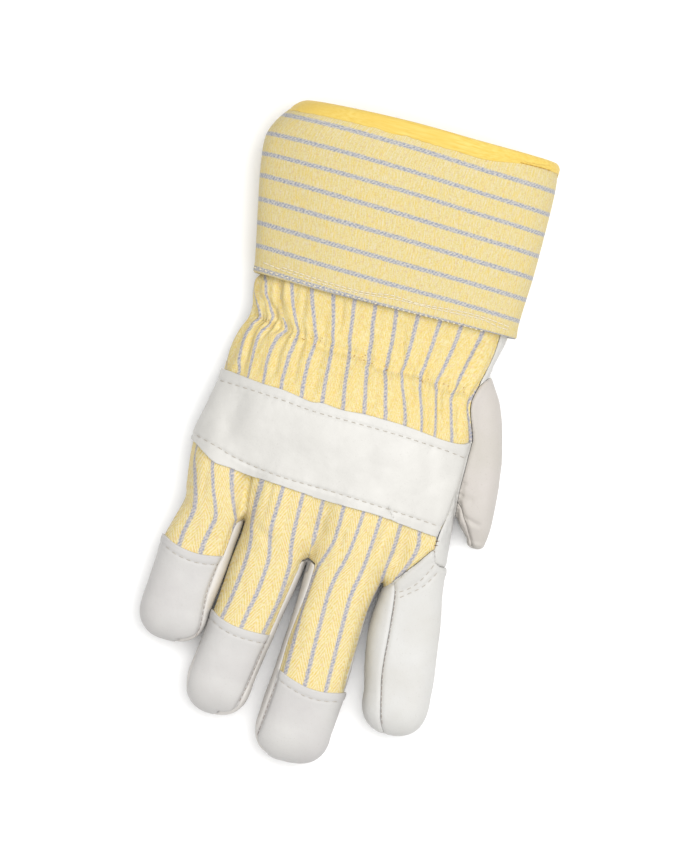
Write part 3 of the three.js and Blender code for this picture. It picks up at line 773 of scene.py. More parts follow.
def intoCuff(points):
    # under the cuff the sheets reach out to the middle of its wall
    x, y, z = points.T
    left, right, bottom, mid, top = section(cuff, y)
    half, aside, up = (right - left) / 2, x - (left + right) / 2, z - mid
    power = np.where(up > 0, *cuff["powers"])
    wall = cuff["wall"] / 2
    reach = np.where(up > 0, top - mid, mid - bottom + join["floorSag"]) - wall
    g = (np.abs(aside / (half - wall)) ** power + np.abs(up / reach) ** power) ** (1 / power)
    share = smoothStep(y, *cuff["sewnIn"])
    grow = share * (1 / np.maximum(g, 0.1) - 1)
    inside = np.maximum(mid + up * (1 + grow), wall * share)
    x, z = x + aside * grow, np.where(y > cuff["sewnIn"][0], inside, z)
    return np.column_stack([x, y, z - outerFall(x, z) * share])


bodyNormals = meshNormals(bodyPoints, bodyTriangles)
bodyAcross = acrossWeave(bodyPoints, bodyNormals)
bumps = sum(
    depth * noise3(bodyPoints, size, seed)
    for seed, (depth, size) in enumerate((relief["largeBumps"], relief["smallBumps"]), 1)
)
common = bodyPoints + bodyNormals * (pressed(bodyPoints) + bumps)[:, None]
bodyNormals = meshNormals(common, bodyTriangles)
bodyPoints = common + bodyNormals * gathered(bodyPoints, bodyAcross)[:, None]
for points in (common, bodyPoints):
    points[:, 2] = np.maximum(points[:, 2], 0.02)  # just above the floor
bodyPoints = intoCuff(bodyPoints)
body = {
    "points": bodyPoints,
    "normals": meshNormals(bodyPoints, bodyTriangles),
    "flat": common,  # without the cotton's own folds, which the strap bridges
    "flatNormals": bodyNormals,
    "weave": np.column_stack([bodyAcross, -bodyPoints[:, 1]]),
    "triangles": bodyTriangles,
}
print("folds pressed:", len(bodyFolds) + len(clothFolds))

# Cutting the form into pieces.


def trim(sheet, field):
    # keeps the part of a sheet where the field is above zero, and cuts the triangles on its edge
    value = field(sheet["points"])
    value = np.where(np.abs(value) < 0.01, 0.01, value)
    corners = sheet["triangles"]
    inside = value[corners] > 0
    count = inside.sum(1)
    kept, pairs = [corners[count == 3]], []
    for want in (1, 2):
        part, flags = corners[count == want], inside[count == want]
        first = np.argmax(flags == (want == 1), axis=1)
        row = np.arange(len(part))
        pairs.append([part[row, (first + k) % 3] for k in range(3)])
    a = np.concatenate([pairs[0][0], pairs[0][0], pairs[1][0], pairs[1][0]])
    b = np.concatenate([pairs[0][1], pairs[0][2], pairs[1][1], pairs[1][2]])
    low, high = np.minimum(a, b), np.maximum(a, b)
    total = len(value)
    keys, back = np.unique(low * total + high, return_inverse=True)
    low, high = keys // total, keys % total
    share = (value[low] / (value[low] - value[high]))[:, None]
    made = back + total
    n1, n2 = len(pairs[0][0]), len(pairs[1][0])
    kept.append(np.column_stack([pairs[0][0], made[:n1], made[n1 : 2 * n1]]))
    ab, ac = made[2 * n1 : 2 * n1 + n2], made[2 * n1 + n2 :]
    kept.append(np.column_stack([ab, pairs[1][1], pairs[1][2]]))
    kept.append(np.column_stack([ab, pairs[1][2], ac]))
    triangles = np.concatenate(kept)
    used, triangles = np.unique(triangles, return_inverse=True)
    result = {"triangles": triangles.reshape(-1, 3)}
    for name, data in sheet.items():
        if name != "triangles":
            cut = data[low] * (1 - share) + data[high] * share
            result[name] = np.concatenate([data, cut])[used]
    return result


def edgeLoop(triangles):
    # the directed edges along a sheet's border
    edges = np.concatenate([triangles[:, [k, (k + 1) % 3]] for k in range(3)])
    total = triangles.max() + 1
    key, other = edges[:, 0] * total + edges[:, 1], edges[:, 1] * total + edges[:, 0]
    return edges[~np.isin(key, other)]


shown = {}  # every finished piece, by name


def addPiece(name, points, faces, material, node=None, weave=None):
    mesh = bpy.data.meshes.new(name)
    mesh.from_pydata(((points + gloveShift) / 1000).tolist(), [], faces)
    mesh.polygons.foreach_set("use_smooth", [True] * len(mesh.polygons))
    if weave is not None:
        layer = mesh.uv_layers.new(name="weave")
        corner = np.zeros(len(mesh.loops), np.int32)
        mesh.loops.foreach_get("vertex_index", corner)
        layer.data.foreach_set("uv", (weave[corner] / 100).ravel())
    mesh.materials.append(material)
    mesh.update()
    piece = bpy.data.objects.new(name, mesh)
    scene.collection.objects.link(piece)
    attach(piece, "root")
    if node:
        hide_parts(node)
    shown[name] = piece
    return piece


def sewPiece(name, node, sheet, material, thick=1.2, lift=0.0, edgeDrop=0.3):
    # a sheet of cloth or leather with its real thickness and its cut edges
    points, normals, triangles = sheet["points"], sheet["normals"], sheet["triangles"]
    count = len(points)
    raised = lift(points) if callable(lift) else np.full(count, float(lift))
    border = edgeLoop(triangles)
    onBorder = np.zeros(count)
    onBorder[border[:, 0]] = 1
    outer = points + normals * (raised - edgeDrop * onBorder)[:, None]
    inner = points + normals * (raised - thick)[:, None]
    for side, least in ((outer, 0.0), (inner, 0.3)):  # both stay above the floor
        side[:, 2] = np.maximum(side[:, 2], least)
    ringOut, ringIn = outer[border[:, 0]], inner[border[:, 0]]
    place = np.full(count, -1)
    place[border[:, 0]] = np.arange(len(border)) + 2 * count
    a, b = place[border[:, 0]], place[border[:, 1]]
    closed = (a >= 0) & (b >= 0)
    a, b = a[closed], b[closed]
    c, d = a + len(border), b + len(border)
    rim = np.concatenate([np.column_stack([b, a, c]), np.column_stack([b, c, d])])
    faces = np.concatenate([triangles, triangles[:, ::-1] + count, rim])
    allPoints = np.concatenate([outer, inner, ringOut, ringIn])
    weave = sheet["weave"]
    weave = np.concatenate([weave, weave, weave[border[:, 0]], weave[border[:, 0]]])
    return addPiece(name, allPoints, faces.tolist(), material, node, weave)


# Materials.


def paint(code):
    # an sRGB hex colour as the linear one that shaders take
    parts = [int(code[i : i + 2], 16) / 255 for i in (1, 3, 5)]
    linear = [c / 12.92 if c <= 0.04045 else ((c + 0.055) / 1.055) ** 2.4 for c in parts]
    return (*linear, 1.0)


def addNode(tree, kind, settings=(), links=()):
    # a node with its settings, its inputs linked to other nodes or to one of their outputs
    node = tree.nodes.new("ShaderNode" + kind)
    for key, value in dict(settings).items():
        if isinstance(key, int) or key in node.inputs:
            node.inputs[key].default_value = value
        else:
            setattr(node, key, value)
    for key, source in dict(links).items():
        if isinstance(source, bpy.types.Node):
            source = next(output for output in source.outputs if output.enabled)
        tree.links.new(source, node.inputs[key])
    return node


def newMaterial(name, settings):
    material = bpy.data.materials.new(name)
    material.use_nodes = True
    tree = material.node_tree
    shader = tree.nodes["Principled BSDF"]
    for key, value in settings.items():
        shader.inputs[key].default_value = value
    return material, tree, shader


colourMix = {"data_type": "RGBA"}  # input 0 is the share, 6 and 7 the two colours


def wovenCotton(name, look):
    # Cotton yarns dyed before weaving and left matt: each yarn has its own heathered shade, so the
    # cloth is never one flat yellow. The twill turns back at each stripe and half way between them,
    # a herringbone that catches the light in slanting lines. The stripes are a two-ply blue yarn.
    material, tree, shader = newMaterial(name, {
        "Roughness": 0.92, "IOR": 1.5, "Specular IOR Level": 0.25,
        "Sheen Weight": 0.1, "Sheen Roughness": 0.5,
    })
    weave = addNode(tree, "UVMap", {"uv_map": "weave"})
    place = addNode(tree, "VectorMath", {"operation": "SCALE", "Scale": 100.0}, {0: weave})  # to mm
    split = addNode(tree, "SeparateXYZ", {}, {0: place})
    across, along = split.outputs[0], split.outputs[1]
    noises = {}
    for key, (wide, tall), detail, rough, start in (  # sizes in mm across and along the cloth
        ("fray", (0.5, 0.9), 1.0, 0.5, (0, 0, 0)),
        ("warp", (look["yarn"], look["run"]), 3.0, 0.6, (0, 0, 0)),  # both about one yarn wide
        ("weft", (look["pick"], look["yarn"]), 3.0, 0.6, (0, 0, 0)),
        ("mottle", look["patch"], 4.0, 0.7, (0, 0, 0)),
        ("bent", (2.5, 4), 2.0, 0.5, (0, 0, 0)),
        ("speck", (0.7, 0.9), 1.0, 0.5, (0, 0, 0)),
        ("fleck", (0.9, 1.6), 1.0, 0.5, (7, 3, 0)),
        ("ply", (0.6, 1.1), 2.0, 0.5, (3, 9, 0)),
    ):
        scale = {"Scale": (1 / wide, 1 / tall, 1), "Location": start}
        noise = {"Scale": 1.0, "Detail": detail, "Roughness": rough}
        spot = addNode(tree, "Mapping", scale, {0: place})
        noises[key] = addNode(tree, "TexNoise", noise, {"Vector": spot})

    values = {"across": across, "along": along, **noises}
    for key, operation, constants, sources in (  # numbers and earlier values for its inputs
        # distance to the nearest stripe's middle, the stripe's edge frayed a little
        ("turns", "MULTIPLY_ADD", {1: 1 / look["pitch"], 2: 0.5}, {0: "across"}),
        ("part", "FRACT", {}, {0: "turns"}),
        ("offset", "SUBTRACT", {1: 0.5}, {0: "part"}),
        ("half", "ABSOLUTE", {}, {0: "offset"}),
        ("toStripe", "MULTIPLY", {1: look["pitch"]}, {0: "half"}),
        ("frayed", "MULTIPLY_ADD", {1: 0.9}, {0: "fray", 2: "toStripe"}),
        # real twill lines are 0.9 mm apart, drawn coarser to show; specks of pale yarn on them
        ("slope", "MULTIPLY", {1: look["chevron"]}, {0: "toStripe"}),
        ("height", "ADD", {}, {0: "along", 1: "slope"}),
        ("wavy", "MULTIPLY_ADD", {1: look["bend"]}, {0: "bent", 2: "height"}),
        ("phase", "MULTIPLY", {1: 2 * math.pi / look["twill"]}, {0: "wavy"}),
        ("twill", "SINE", {}, {0: "phase"}),
        ("uneven", "MULTIPLY_ADD", {1: 2.4}, {0: "mottle", 2: "twill"}),
        ("lit", "MULTIPLY_ADD", {1: 2.6}, {0: "speck", 2: "uneven"}),
        # the two plies of the stripe's yarn, 1.5 mm apart, which slant across it
        ("twist", "MULTIPLY_ADD", {1: 0.9}, {0: "across", 2: "along"}),
        ("twistPhase", "MULTIPLY", {1: 2 * math.pi / 1.5}, {0: "twist"}),
        ("plies", "SINE", {}, {0: "twistPhase"}),
        ("plyMix", "MULTIPLY_ADD", {1: 14.0}, {0: "ply", 2: "plies"}),
        # the relief
        ("ribs", "MULTIPLY", {1: look["bumps"][0]}, {0: "twill"}),
        ("warpRelief", "MULTIPLY_ADD", {1: look["bumps"][1]}, {0: "warp", 2: "ribs"}),
        ("relief", "MULTIPLY_ADD", {1: look["bumps"][2]}, {0: "weft", 2: "warpRelief"}),
    ):
        links = {socket: values[source] for socket, source in sources.items()}
        values[key] = addNode(tree, "Math", {"operation": operation, **constants}, links)

    edge = look["stripe"] / 2 + 0.45  # the mean of the fraying is added to the stripe's edge
    wornOff, whole = look["twillFades"]  # the twill is worn smooth towards the wrist
    shares = {}
    for key, source, low, high, least, most in (  # where each begins, is full, and how strong
        ("inStripe", "frayed", edge + 0.25, edge - 0.25, 0, 1),
        ("deep", "warp", 0.38, 0.62, 0, 1),
        ("rich", "mottle", 0.44, 0.7, 0, look["richShare"]),
        ("cross", "weft", 0.46, 0.66, 0, look["crossShare"]),
        ("pale", "lit", 2.2, 3.5, 0, look["twillShare"]),
        ("kept", "along", wornOff, whole, 0.3, 1),
        ("fleck", "fleck", 0.56, 0.7, 0, look["fleckShare"]),
        ("plies", "plyMix", 5.0, 9.0, 0, 1),
    ):
        span = {"From Min": low, "From Max": high, "To Min": least, "To Max": most}
        shares[key] = addNode(tree, "MapRange", span, {"Value": values[source]})
    times = {"operation": "MULTIPLY"}
    shares["pale"] = addNode(tree, "Math", times, {0: shares["pale"], 1: shares["kept"]})
    ends = {6: paint(look["light"]), 7: paint(look["deep"])}
    shade = addNode(tree, "Mix", {**colourMix, **ends}, {0: shares["deep"]})
    for key in ("rich", "cross", "pale", "fleck"):  # heathered shades, one laid over another
        over = {**colourMix, 7: paint(look[key])}
        shade = addNode(tree, "Mix", over, {0: shares[key], 6: shade})
    ends = {6: paint(look["stripeDeep"]), 7: paint(look["stripeLight"])}
    yarns = addNode(tree, "Mix", {**colourMix, **ends}, {0: shares["plies"]})
    stripe = addNode(tree, "Math", {**times, 1: 0.9}, {0: shares["inStripe"]})
    shade = addNode(tree, "Mix", colourMix, {0: stripe, 6: shade, 7: yarns})
    tree.links.new(shade.outputs[2], shader.inputs["Base Color"])
    depth = {"Strength": 0.5, "Distance": 0.0002}
    bump = addNode(tree, "Bump", depth, {"Height": values["relief"]})
    tree.links.new(bump.outputs[0], shader.inputs["Normal"])
    return material


def grainLeather(name, look):
    # Chrome-tanned cowhide, grain side out, drum-dyed pale grey: fine pebbled grain, slack creases
    # where it bends, a soft dull sheen, and a little greyer or pinker from one piece to the next.
    rough = look["roughness"]
    material, tree, shader = newMaterial(name, {
        "IOR": 1.5, "Specular IOR Level": 0.4, "Sheen Weight": 0.05, "Sheen Roughness": 0.6,
    })
    where = addNode(tree, "TexCoord").outputs["Object"]
    place = addNode(tree, "VectorMath", {"operation": "SCALE", "Scale": 1000.0}, {0: where})
    patterns = {}
    for key, kind, settings in (  # sizes in mm; real grain is near 0.4, drawn coarser to show
        ("grain", "Voronoi", {"Scale": 1 / 0.9, "feature": "SMOOTH_F1", "Smoothness": 0.6}),
        ("fine", "Noise", {"Scale": 1 / 0.7, "Detail": 3.0}),
        ("wide", "Noise", {"Scale": 1 / 24, "Detail": 4.0, "Roughness": 0.6}),
        ("crease", "Noise", {"Scale": 1 / 9, "Detail": 4.0, "Roughness": 0.55, "Distortion": 0.8}),
    ):
        patterns[key] = addNode(tree, "Tex" + kind, settings, {"Vector": place})
    ranges = {}
    for key, pattern, low, high, least, most in (
        ("patch", "wide", 0.35, 0.68, 0, 1), ("pore", "fine", 0.62, 0.8, 0, 1),
        ("dull", "wide", 0.3, 0.7, rough - 0.06, rough + 0.06),
    ):
        span = {"From Min": low, "From Max": high, "To Min": least, "To Max": most}
        ranges[key] = addNode(tree, "MapRange", span, {"Value": patterns[pattern]})
    ends = {6: paint(look["colour"]), 7: paint(look["patch"])}
    shade = addNode(tree, "Mix", {**colourMix, **ends}, {0: ranges["patch"]})
    pores = {**colourMix, 7: paint(look["pore"])}
    shade = addNode(tree, "Mix", pores, {0: ranges["pore"], 6: shade})
    tree.links.new(shade.outputs[2], shader.inputs["Base Color"])
    tree.links.new(ranges["dull"].outputs[0], shader.inputs["Roughness"])
    creases = {"Strength": 0.35, "Distance": 0.0006}
    pebbles = {"Strength": 0.25, "Distance": 0.00012}
    bump = addNode(tree, "Bump", creases, {"Height": patterns["crease"]})
    bump = addNode(tree, "Bump", pebbles, {"Height": patterns["grain"], "Normal": bump})
    tree.links.new(bump.outputs[0], shader.inputs["Normal"])
    return material


def spunThread(name, colour, deep):
    # Two-ply cotton thread, slightly fuzzy, so it is matt with a faint twist.
    matte = {"Roughness": 0.85, "IOR": 1.5, "Specular IOR Level": 0.3}
    material, tree, shader = newMaterial(name, matte)
    where = addNode(tree, "TexCoord").outputs["Object"]
    plies = {"Scale": 900.0, "Distortion": 2.0, "bands_direction": "DIAGONAL"}
    twist = addNode(tree, "TexWave", plies, {"Vector": where})
    ends = {6: paint(colour), 7: paint(deep)}
    shade = addNode(tree, "Mix", {**colourMix, **ends}, {0: twist.outputs[1]})
    tree.links.new(shade.outputs[2], shader.inputs["Base Color"])
    return material


def bindingTape(name, look):
    # Herringbone cotton tape, dyed bright yellow: fine lengthwise ribs, matt.
    material, tree, shader = newMaterial(name, {
        "Roughness": 0.8, "IOR": 1.5, "Specular IOR Level": 0.3,
        "Sheen Weight": 0.15, "Sheen Roughness": 0.5,
    })
    where = addNode(tree, "TexCoord").outputs["Object"]
    place = addNode(tree, "Mapping", {"Scale": (120.0, 1500.0, 1500.0)}, {0: where})
    yarn = addNode(tree, "TexNoise", {"Scale": 1.0, "Detail": 3.0}, {"Vector": place})
    wide = addNode(tree, "TexNoise", {"Scale": 40.0, "Detail": 2.0}, {"Vector": where})
    share = addNode(tree, "MapRange", {"From Min": 0.35, "From Max": 0.7}, {"Value": yarn})
    ends = {6: paint(look["light"]), 7: paint(look["deep"])}
    shade = addNode(tree, "Mix", {**colourMix, **ends}, {0: share})
    share = addNode(tree, "MapRange", {"From Min": 0.4, "From Max": 0.75}, {"Value": wide})
    faded = {**colourMix, 7: paint(look["patch"])}
    shade = addNode(tree, "Mix", faded, {0: share, 6: shade})
    tree.links.new(shade.outputs[2], shader.inputs["Base Color"])
    bump = addNode(tree, "Bump", {"Strength": 0.3, "Distance": 0.0002}, {"Height": yarn})
    tree.links.new(bump.outputs[0], shader.inputs["Normal"])
    return material


backCotton = wovenCotton("dyed-cotton-twill", {
    "pitch": stripePitch, "stripe": 1.65, "yarn": 0.5, "run": 2.2, "pick": 1.8, "patch": (2.9, 12),
    "light": "#D4C893", "deep": "#CCB35D", "rich": "#CFAF4A", "richShare": 0.65,
    "cross": "#D7CAA9", "crossShare": 0.55, "pale": "#DCD3B8", "twillShare": 0.6,
    "twillFades": (-14, 8), "fleck": "#CCA889", "fleckShare": 0.42,
    "stripeDeep": "#7E859D", "stripeLight": "#BBB5B3",
    "twill": 2.4, "chevron": 2.2, "bend": 1.8, "bumps": (0.3, 0.4, 0.4),
})
cuffCanvas = wovenCotton("starched-canvas", {
    "pitch": cuff["stripePitch"], "stripe": 1.85, "yarn": 0.45, "run": 1.1, "pick": 3.4,
    "patch": (9, 3.2),
    "light": "#C7BC89", "deep": "#C2AD64", "rich": "#CCB151", "richShare": 0.75,
    "cross": "#CBC0A6", "crossShare": 0.8, "pale": "#D5CDB1", "twillShare": 0.2,
    "twillFades": (-900, -899), "fleck": "#BA9D81", "fleckShare": 0.45,  # not worn anywhere
    "stripeDeep": "#7C8398", "stripeLight": "#B7B4AF",
    "twill": 1.3, "chevron": 0.0, "bend": 3.2, "bumps": (0.1, 0.4, 0.7),
})
hides = {  # colour of the skin, of its large patches and of its pores, and its roughness
    "back": ("cowhide-pale", "#C8C6C1", "#BFBDB8", "#B8B5B0", 0.55),
    "tips": ("cowhide-grey", "#BEBCB9", "#B8B5B3", "#B1AEA9", 0.6),
    # the finger sides' leather is a lighter copy, painted light for sides that turn away from the
    # lamp
    "fronts": ("cowhide-painted-lighter", "#CBC7C2", "#C5C1BC", "#BCB7B2", 0.6),
    "palm": ("cowhide-side", "#C4C3C0", "#BFBDB8", "#B5B3AE", 0.6),
    "thumb": ("cowhide-warm", "#B9B3AE", "#B3AEA6", "#A9A39B", 0.6),
}
leathers = {
    key: grainLeather(name, dict(zip(("colour", "patch", "pore", "roughness"), look)))
    for key, (name, *look) in hides.items()
}
tapeLook = {"light": "#D9C16A", "deep": "#CFAD4A", "patch": "#D4B557"}
tapeCotton = bindingTape("binding-tape", tapeLook)
thread = spunThread("cotton-thread", "#BEB8AF", "#A69F93")
whiteThread = spunThread("white-thread", "#DAD0B8", "#CDC1A2")
# brown thread: stitches at the thumb's corner, and along the finger seams thin near-unbroken lines
# of painted shade for the seam's gap and its stitch holes
brownThreadAndShade = spunThread("brown-thread-and-seam-shade", "#846B59", "#675040")
elasticThread = spunThread("tan-thread", "#B58F5A", "#A27745")
# ochre thread for the tape's crease: a near-unbroken dark line, painted shadow under the tape's
# edge
creaseShadowThread = spunThread("ochre-crease-shadow", "#BE9544", "#A57D35")
print("materials:", len(bpy.data.materials))

# The sewn pieces.

strap = {
    "seams": [
        [[-62, 7.6], [-58, 7.3], [-50, 6.9], [-40, 6.2], [-30, 5.4], [-20, 4.2], [-10, 3.6],
         [0, 3.4], [20, 2.7], [30, 2.0], [40, 1.2], [49.5, 0]],
        [[-62.5, -17.2], [-52, -20], [-46, -22], [-40, -23.3], [-30, -25], [-20, -26], [0, -26.8],
         [25, -28.5], [46, -30.3]],
    ],
    "thick": 1.3, "lift": 1.4, "groove": 0.35, "grooveWidth": 0.8,
    "pucker": 0.06, "puckerPitch": 3.8, "puckerWidth": 2.2,
    "endDrop": 0.8, "endWidth": 1.8,  # its right end is drawn down into the side seam
    "uneven": 0.08, "unevenSize": 3.5, "below": 40,  # y that it stays below
}
strapSeams = [lineAlongX(row) for row in strap["seams"]]
tip = {
    "thick": 1.2, "lift": 0.25, "edgeLift": 0.85, "edgeWidth": 5.0,  # it lies over the cotton
    "groove": 0.25, "grooveWidth": 0.7, "stitchDrop": 3.8,  # from its edge down to its stitches
    "under": 7,  # how far the cotton goes on under it
}
indexEdge = {"lift": 0.8, "width": 5.0, "drop": 0.15}  # its hem lies thicker on the cotton
clothThick, frontDrop = 1.1, 0.15


def refined(sheet):
    # every triangle of a sheet split in four
    corners = sheet["triangles"]
    total = len(sheet["points"])
    pairs = np.concatenate([corners[:, [k, (k + 1) % 3]] for k in range(3)])
    pairs = np.sort(pairs, axis=1)
    keys, back = np.unique(pairs[:, 0] * total + pairs[:, 1], return_inverse=True)
    ab, bc, ca = (back + total).reshape(3, -1)
    a, b, c = corners.T
    result = {"triangles": np.concatenate([
        np.column_stack(t) for t in ((a, ab, ca), (ab, b, bc), (ca, bc, c), (ab, bc, ca))
    ])}
    for name, data in sheet.items():
        if name != "triangles":
            result[name] = np.concatenate([data, (data[keys // total] + data[keys % total]) / 2])
    return result


def strapLift(points):
    # the strap lies on the cotton, drawn down along its two seams and puckered by the stitches
    x, y, _ = points.T
    result = np.full(len(points), strap["lift"])
    pucker = strap["pucker"] * np.cos(2 * np.pi * x / strap["puckerPitch"])
    for seam in strapSeams:
        away = y - seam(x)
        result -= strap["groove"] * bell(away, strap["grooveWidth"])
        result -= pucker * bell(away, strap["puckerWidth"])
    result -= strap["endDrop"] * bell(strapRight(y) - x, strap["endWidth"])
    return result + noise3(points, strap["unevenSize"], 11) * strap["uneven"]


def tipLift(points):
    # a fingertip lies on the cotton, thicker at its hem, with a groove along its stitches
    inside = overTips(points)
    edge = tip["edgeLift"] * bell(inside, tip["edgeWidth"])
    groove = tip["groove"] * bell(inside - tip["stitchDrop"], tip["grooveWidth"])
    return tip["lift"] + edge - groove


def indexLift(points):
    inside = np.minimum(points[:, 1] - indexTop(points[:, 0]), 0)
    return indexEdge["lift"] * bell(inside, indexEdge["width"])


def tuckStripe(piece):
    # the stripe tucked into the wrist's fold shows on no triangle that lies across it
    layer = piece.data.uv_layers["weave"].data
    corners = np.zeros(len(layer) * 2)
    layer.foreach_get("uv", corners)
    corners = corners.reshape(-1, 3, 2)
    stripe = striping["tucked"]
    offset = corners[:, :, 0] * 100 / stripePitch - stripe
    near = (np.abs(offset).max(1) < 0.5) & (corners[:, :, 1].max(1) < -striping["hidden"] / 100)
    lying = near & (offset.min(1) < 0) & (offset.max(1) > 0)
    corners[lying, :, 0] = (stripe - striping["hiddenTo"]) * stripePitch / 100
    layer.foreach_set("uv", corners.ravel())


def onFinger(number):
    # above zero on one finger's share of a sheet
    return lambda p: 0.5 - abs(laneOf(p[:, 0], p[:, 1]) - number)


inCuff = lambda p: sheetEnd - p[:, 1]
cloth = trim(trim(trim(body, overBack), lambda p: -overTips(p, tip["under"])), inCuff)
cotton = sewPiece("cotton_back", "back_cloth", cloth, backCotton, clothThick)
tuckStripe(cotton)

bridge = {**body, "points": body["flat"], "normals": body["flatNormals"]}
band = refined(trim(trim(bridge, overStrap), lambda p: strap["below"] - p[:, 1]))
sewPiece("leather_strap", "knuckle_strap", band, leathers["back"],
         strap["thick"], strapLift)

tips = trim(trim(body, overBack), overTips)
for number, name in enumerate(fingers[:3]):
    one = refined(trim(tips, onFinger(number)))
    sewPiece("leather_tip_" + name, name + "_tip", one, leathers["tips"],
             tip["thick"], tipLift)
rest = trim(trim(body, lambda p: -overBack(p) - slit(p)), inCuff)
halves = trim(rest, lambda p: overThumb(p) - seamSlit["thumb"])
rest = trim(rest, lambda p: -overThumb(p) - seamSlit["thumb"])
for name, side in (("outer", 1), ("inner", -1)):
    one = trim(halves, lambda p: side * overThumbBack(p) - seamSlit["thumbHalves"])
    sewPiece("leather_thumb_" + name, "thumb_" + name, one, leathers["thumb"])
one = trim(rest, lambda p: overIndex(p) - seamSlit["index"])
sewPiece("leather_index", "index_back", one, leathers["palm"],
         lift=indexLift, edgeDrop=indexEdge["drop"])
rest = trim(rest, lambda p: -overIndex(p) - seamSlit["index"])
fronts = trim(rest, overFronts)
for number, name in enumerate(fingers):
    one = trim(fronts, onFinger(number))
    # the sides of the little, ring and middle finger take the lighter copy: painted light
    hide = leathers["palm" if name == "index" else "fronts"]
    sewPiece("leather_front_" + name, name + "_front", one, hide, edgeDrop=frontDrop)
palm = trim(rest, lambda p: -overFronts(p))
sewPiece("leather_palm", "palm", palm, leathers["palm"])
print("sewn pieces:", len(shown))

# The cuff: two layers of stiffened canvas, flared, with a turned lower edge.

cuffStripes = {
    "x": [-60, -30, 0, 30, 58],
    "y": [
        [56.9, 54.9, 53.6, 53.4, 53.0], [66.2, 64.3, 63, 62.3, 61], [75.5, 73.6, 72.5, 71.5, 70.4],
        [85.2, 83.6, 82.5, 81, 79.8], [95, 93.5, 92.2, 90.6, 89.4], [104, 103, 101.8, 100, 98.7],
        [112.6, 111.7, 110.4, 108.5, 107.2], [121.7, 121.2, 120, 118, 117],
        [131, 130.5, 129.4, 127.4, 126.4],
    ],
}
cuffEdges = [  # x, how far the lower edge and the rim lie off straight; y where it sets in, is full
    ([[-64, 1.7], [-52, 1.4], [-38, 0.6], [-20, 0], [64, 0]], 62, 54),
    ([[-64, -1.4], [-51, -1.2], [-26, -0.7], [-2, -0.7], [24, -1.6], [48, -2.0], [64, -2.2]],
     104, 127),
]


def cuffPoint(turn, y, grow):
    # turn runs 0 to 1 round the cuff, from the thumb side over the top
    left, right, bottom, mid, top = section(cuff, y)
    c, s = np.cos(turn * 2 * np.pi), np.sin(turn * 2 * np.pi)
    power = 2 / np.where(turn <= 0.5, *cuff["powers"])
    reach = np.where(turn <= 0.5, top - mid, mid - bottom + join["floorSag"])
    x = (left + right) / 2 + ((right - left) / 2 + grow) * np.sign(c) * np.abs(c) ** power
    z = mid + (reach + grow) * np.sign(s) * np.abs(s) ** power
    return np.column_stack([x, y, np.maximum(z, np.maximum(bottom - grow, 0))])


def cuffBent(points):
    # the cuff's straight edges moved to where they are
    x, y, z = points.T
    for rows, low, high in cuffEdges:
        sign = 1 if high > low else -1
        y = y + lineAlongX(rows)(x) * smoothStep(sign * y, sign * low, sign * high)
    return np.column_stack([x, y, z])


def evenTurns(count):
    # turns that are evenly far apart round the cuff's middle, and how far
    fine = np.linspace(0, 1, 2000)
    points = cuffPoint(fine, np.full(len(fine), cuff["middle"]), 0)
    far = np.concatenate([[0], np.cumsum(np.linalg.norm(np.diff(points, axis=0), axis=1))])
    return np.interp(np.linspace(0, far[-1], count + 1)[:-1], far, fine), far[-1] / count


def cuffWeave(points):
    # millimetres along the cuff, a whole number of pitches at each stripe
    x, y = points[:, 0], points[:, 1]
    lines = np.array([np.interp(x, cuffStripes["x"], row) for row in cuffStripes["y"]])
    k = np.clip((lines <= y).sum(0) - 1, 0, len(lines) - 2)
    pick = np.arange(len(x))
    low, high = lines[k, pick], lines[k + 1, pick]
    return (k + (y - low) / (high - low)) * cuff["stripePitch"]


def sweep(profile, turns):
    # closed rings round the cuff through a profile of (y, grow); returns points and quads
    n, m = len(turns), len(profile)
    rings = [cuffPoint(turns, np.full(n, float(y)), grow) for y, grow in profile]
    r, k = np.meshgrid(np.arange(m), np.arange(n), indexing="ij")
    a, b = r * n + k, r * n + (k + 1) % n
    c, d = ((r + 1) % m) * n + (k + 1) % n, ((r + 1) % m) * n + k
    return cuffBent(np.concatenate(rings)), np.stack([a, d, c, b], -1).reshape(-1, 4)


def sewCuff():
    bottom, rim, wall = cuff["bottom"], cuff["rim"], cuff["wall"]
    turns, spacing = evenTurns(cuff["count"])
    places = np.arange(bottom, rim + 0.1, cuff["ring"])
    # round the turned edge, up the outside, over the rim and down the inside
    profile = [(bottom + y, grow) for y, grow in cuff["turned"]]
    profile += [(y, cuff["lip"] * bell(y - bottom, cuff["lipWidth"])) for y in places]
    profile += [(rim + cuff["rimRound"], -wall / 2)] + [(y, -wall) for y in places[::-1]]
    points, quads = sweep(profile, turns)
    uneven = noise3(points, cuff["unevenSize"], 5) * cuff["uneven"]
    points[:, 2] += uneven * smoothStep(points[:, 2], *cuff["unevenFrom"])
    near, far = cuff["fallEnds"]
    points[:, 2] -= outerFall(points[:, 0], points[:, 2]) * smoothStep(-points[:, 1], -far, -near)
    count = np.arange(len(turns))
    around = np.minimum(count, len(turns) - count) * spacing
    weave = np.column_stack([cuffWeave(points), np.tile(around, len(profile))])
    addPiece("canvas_cuff", points, quads.tolist(), cuffCanvas, "cuff", weave)


sewCuff()

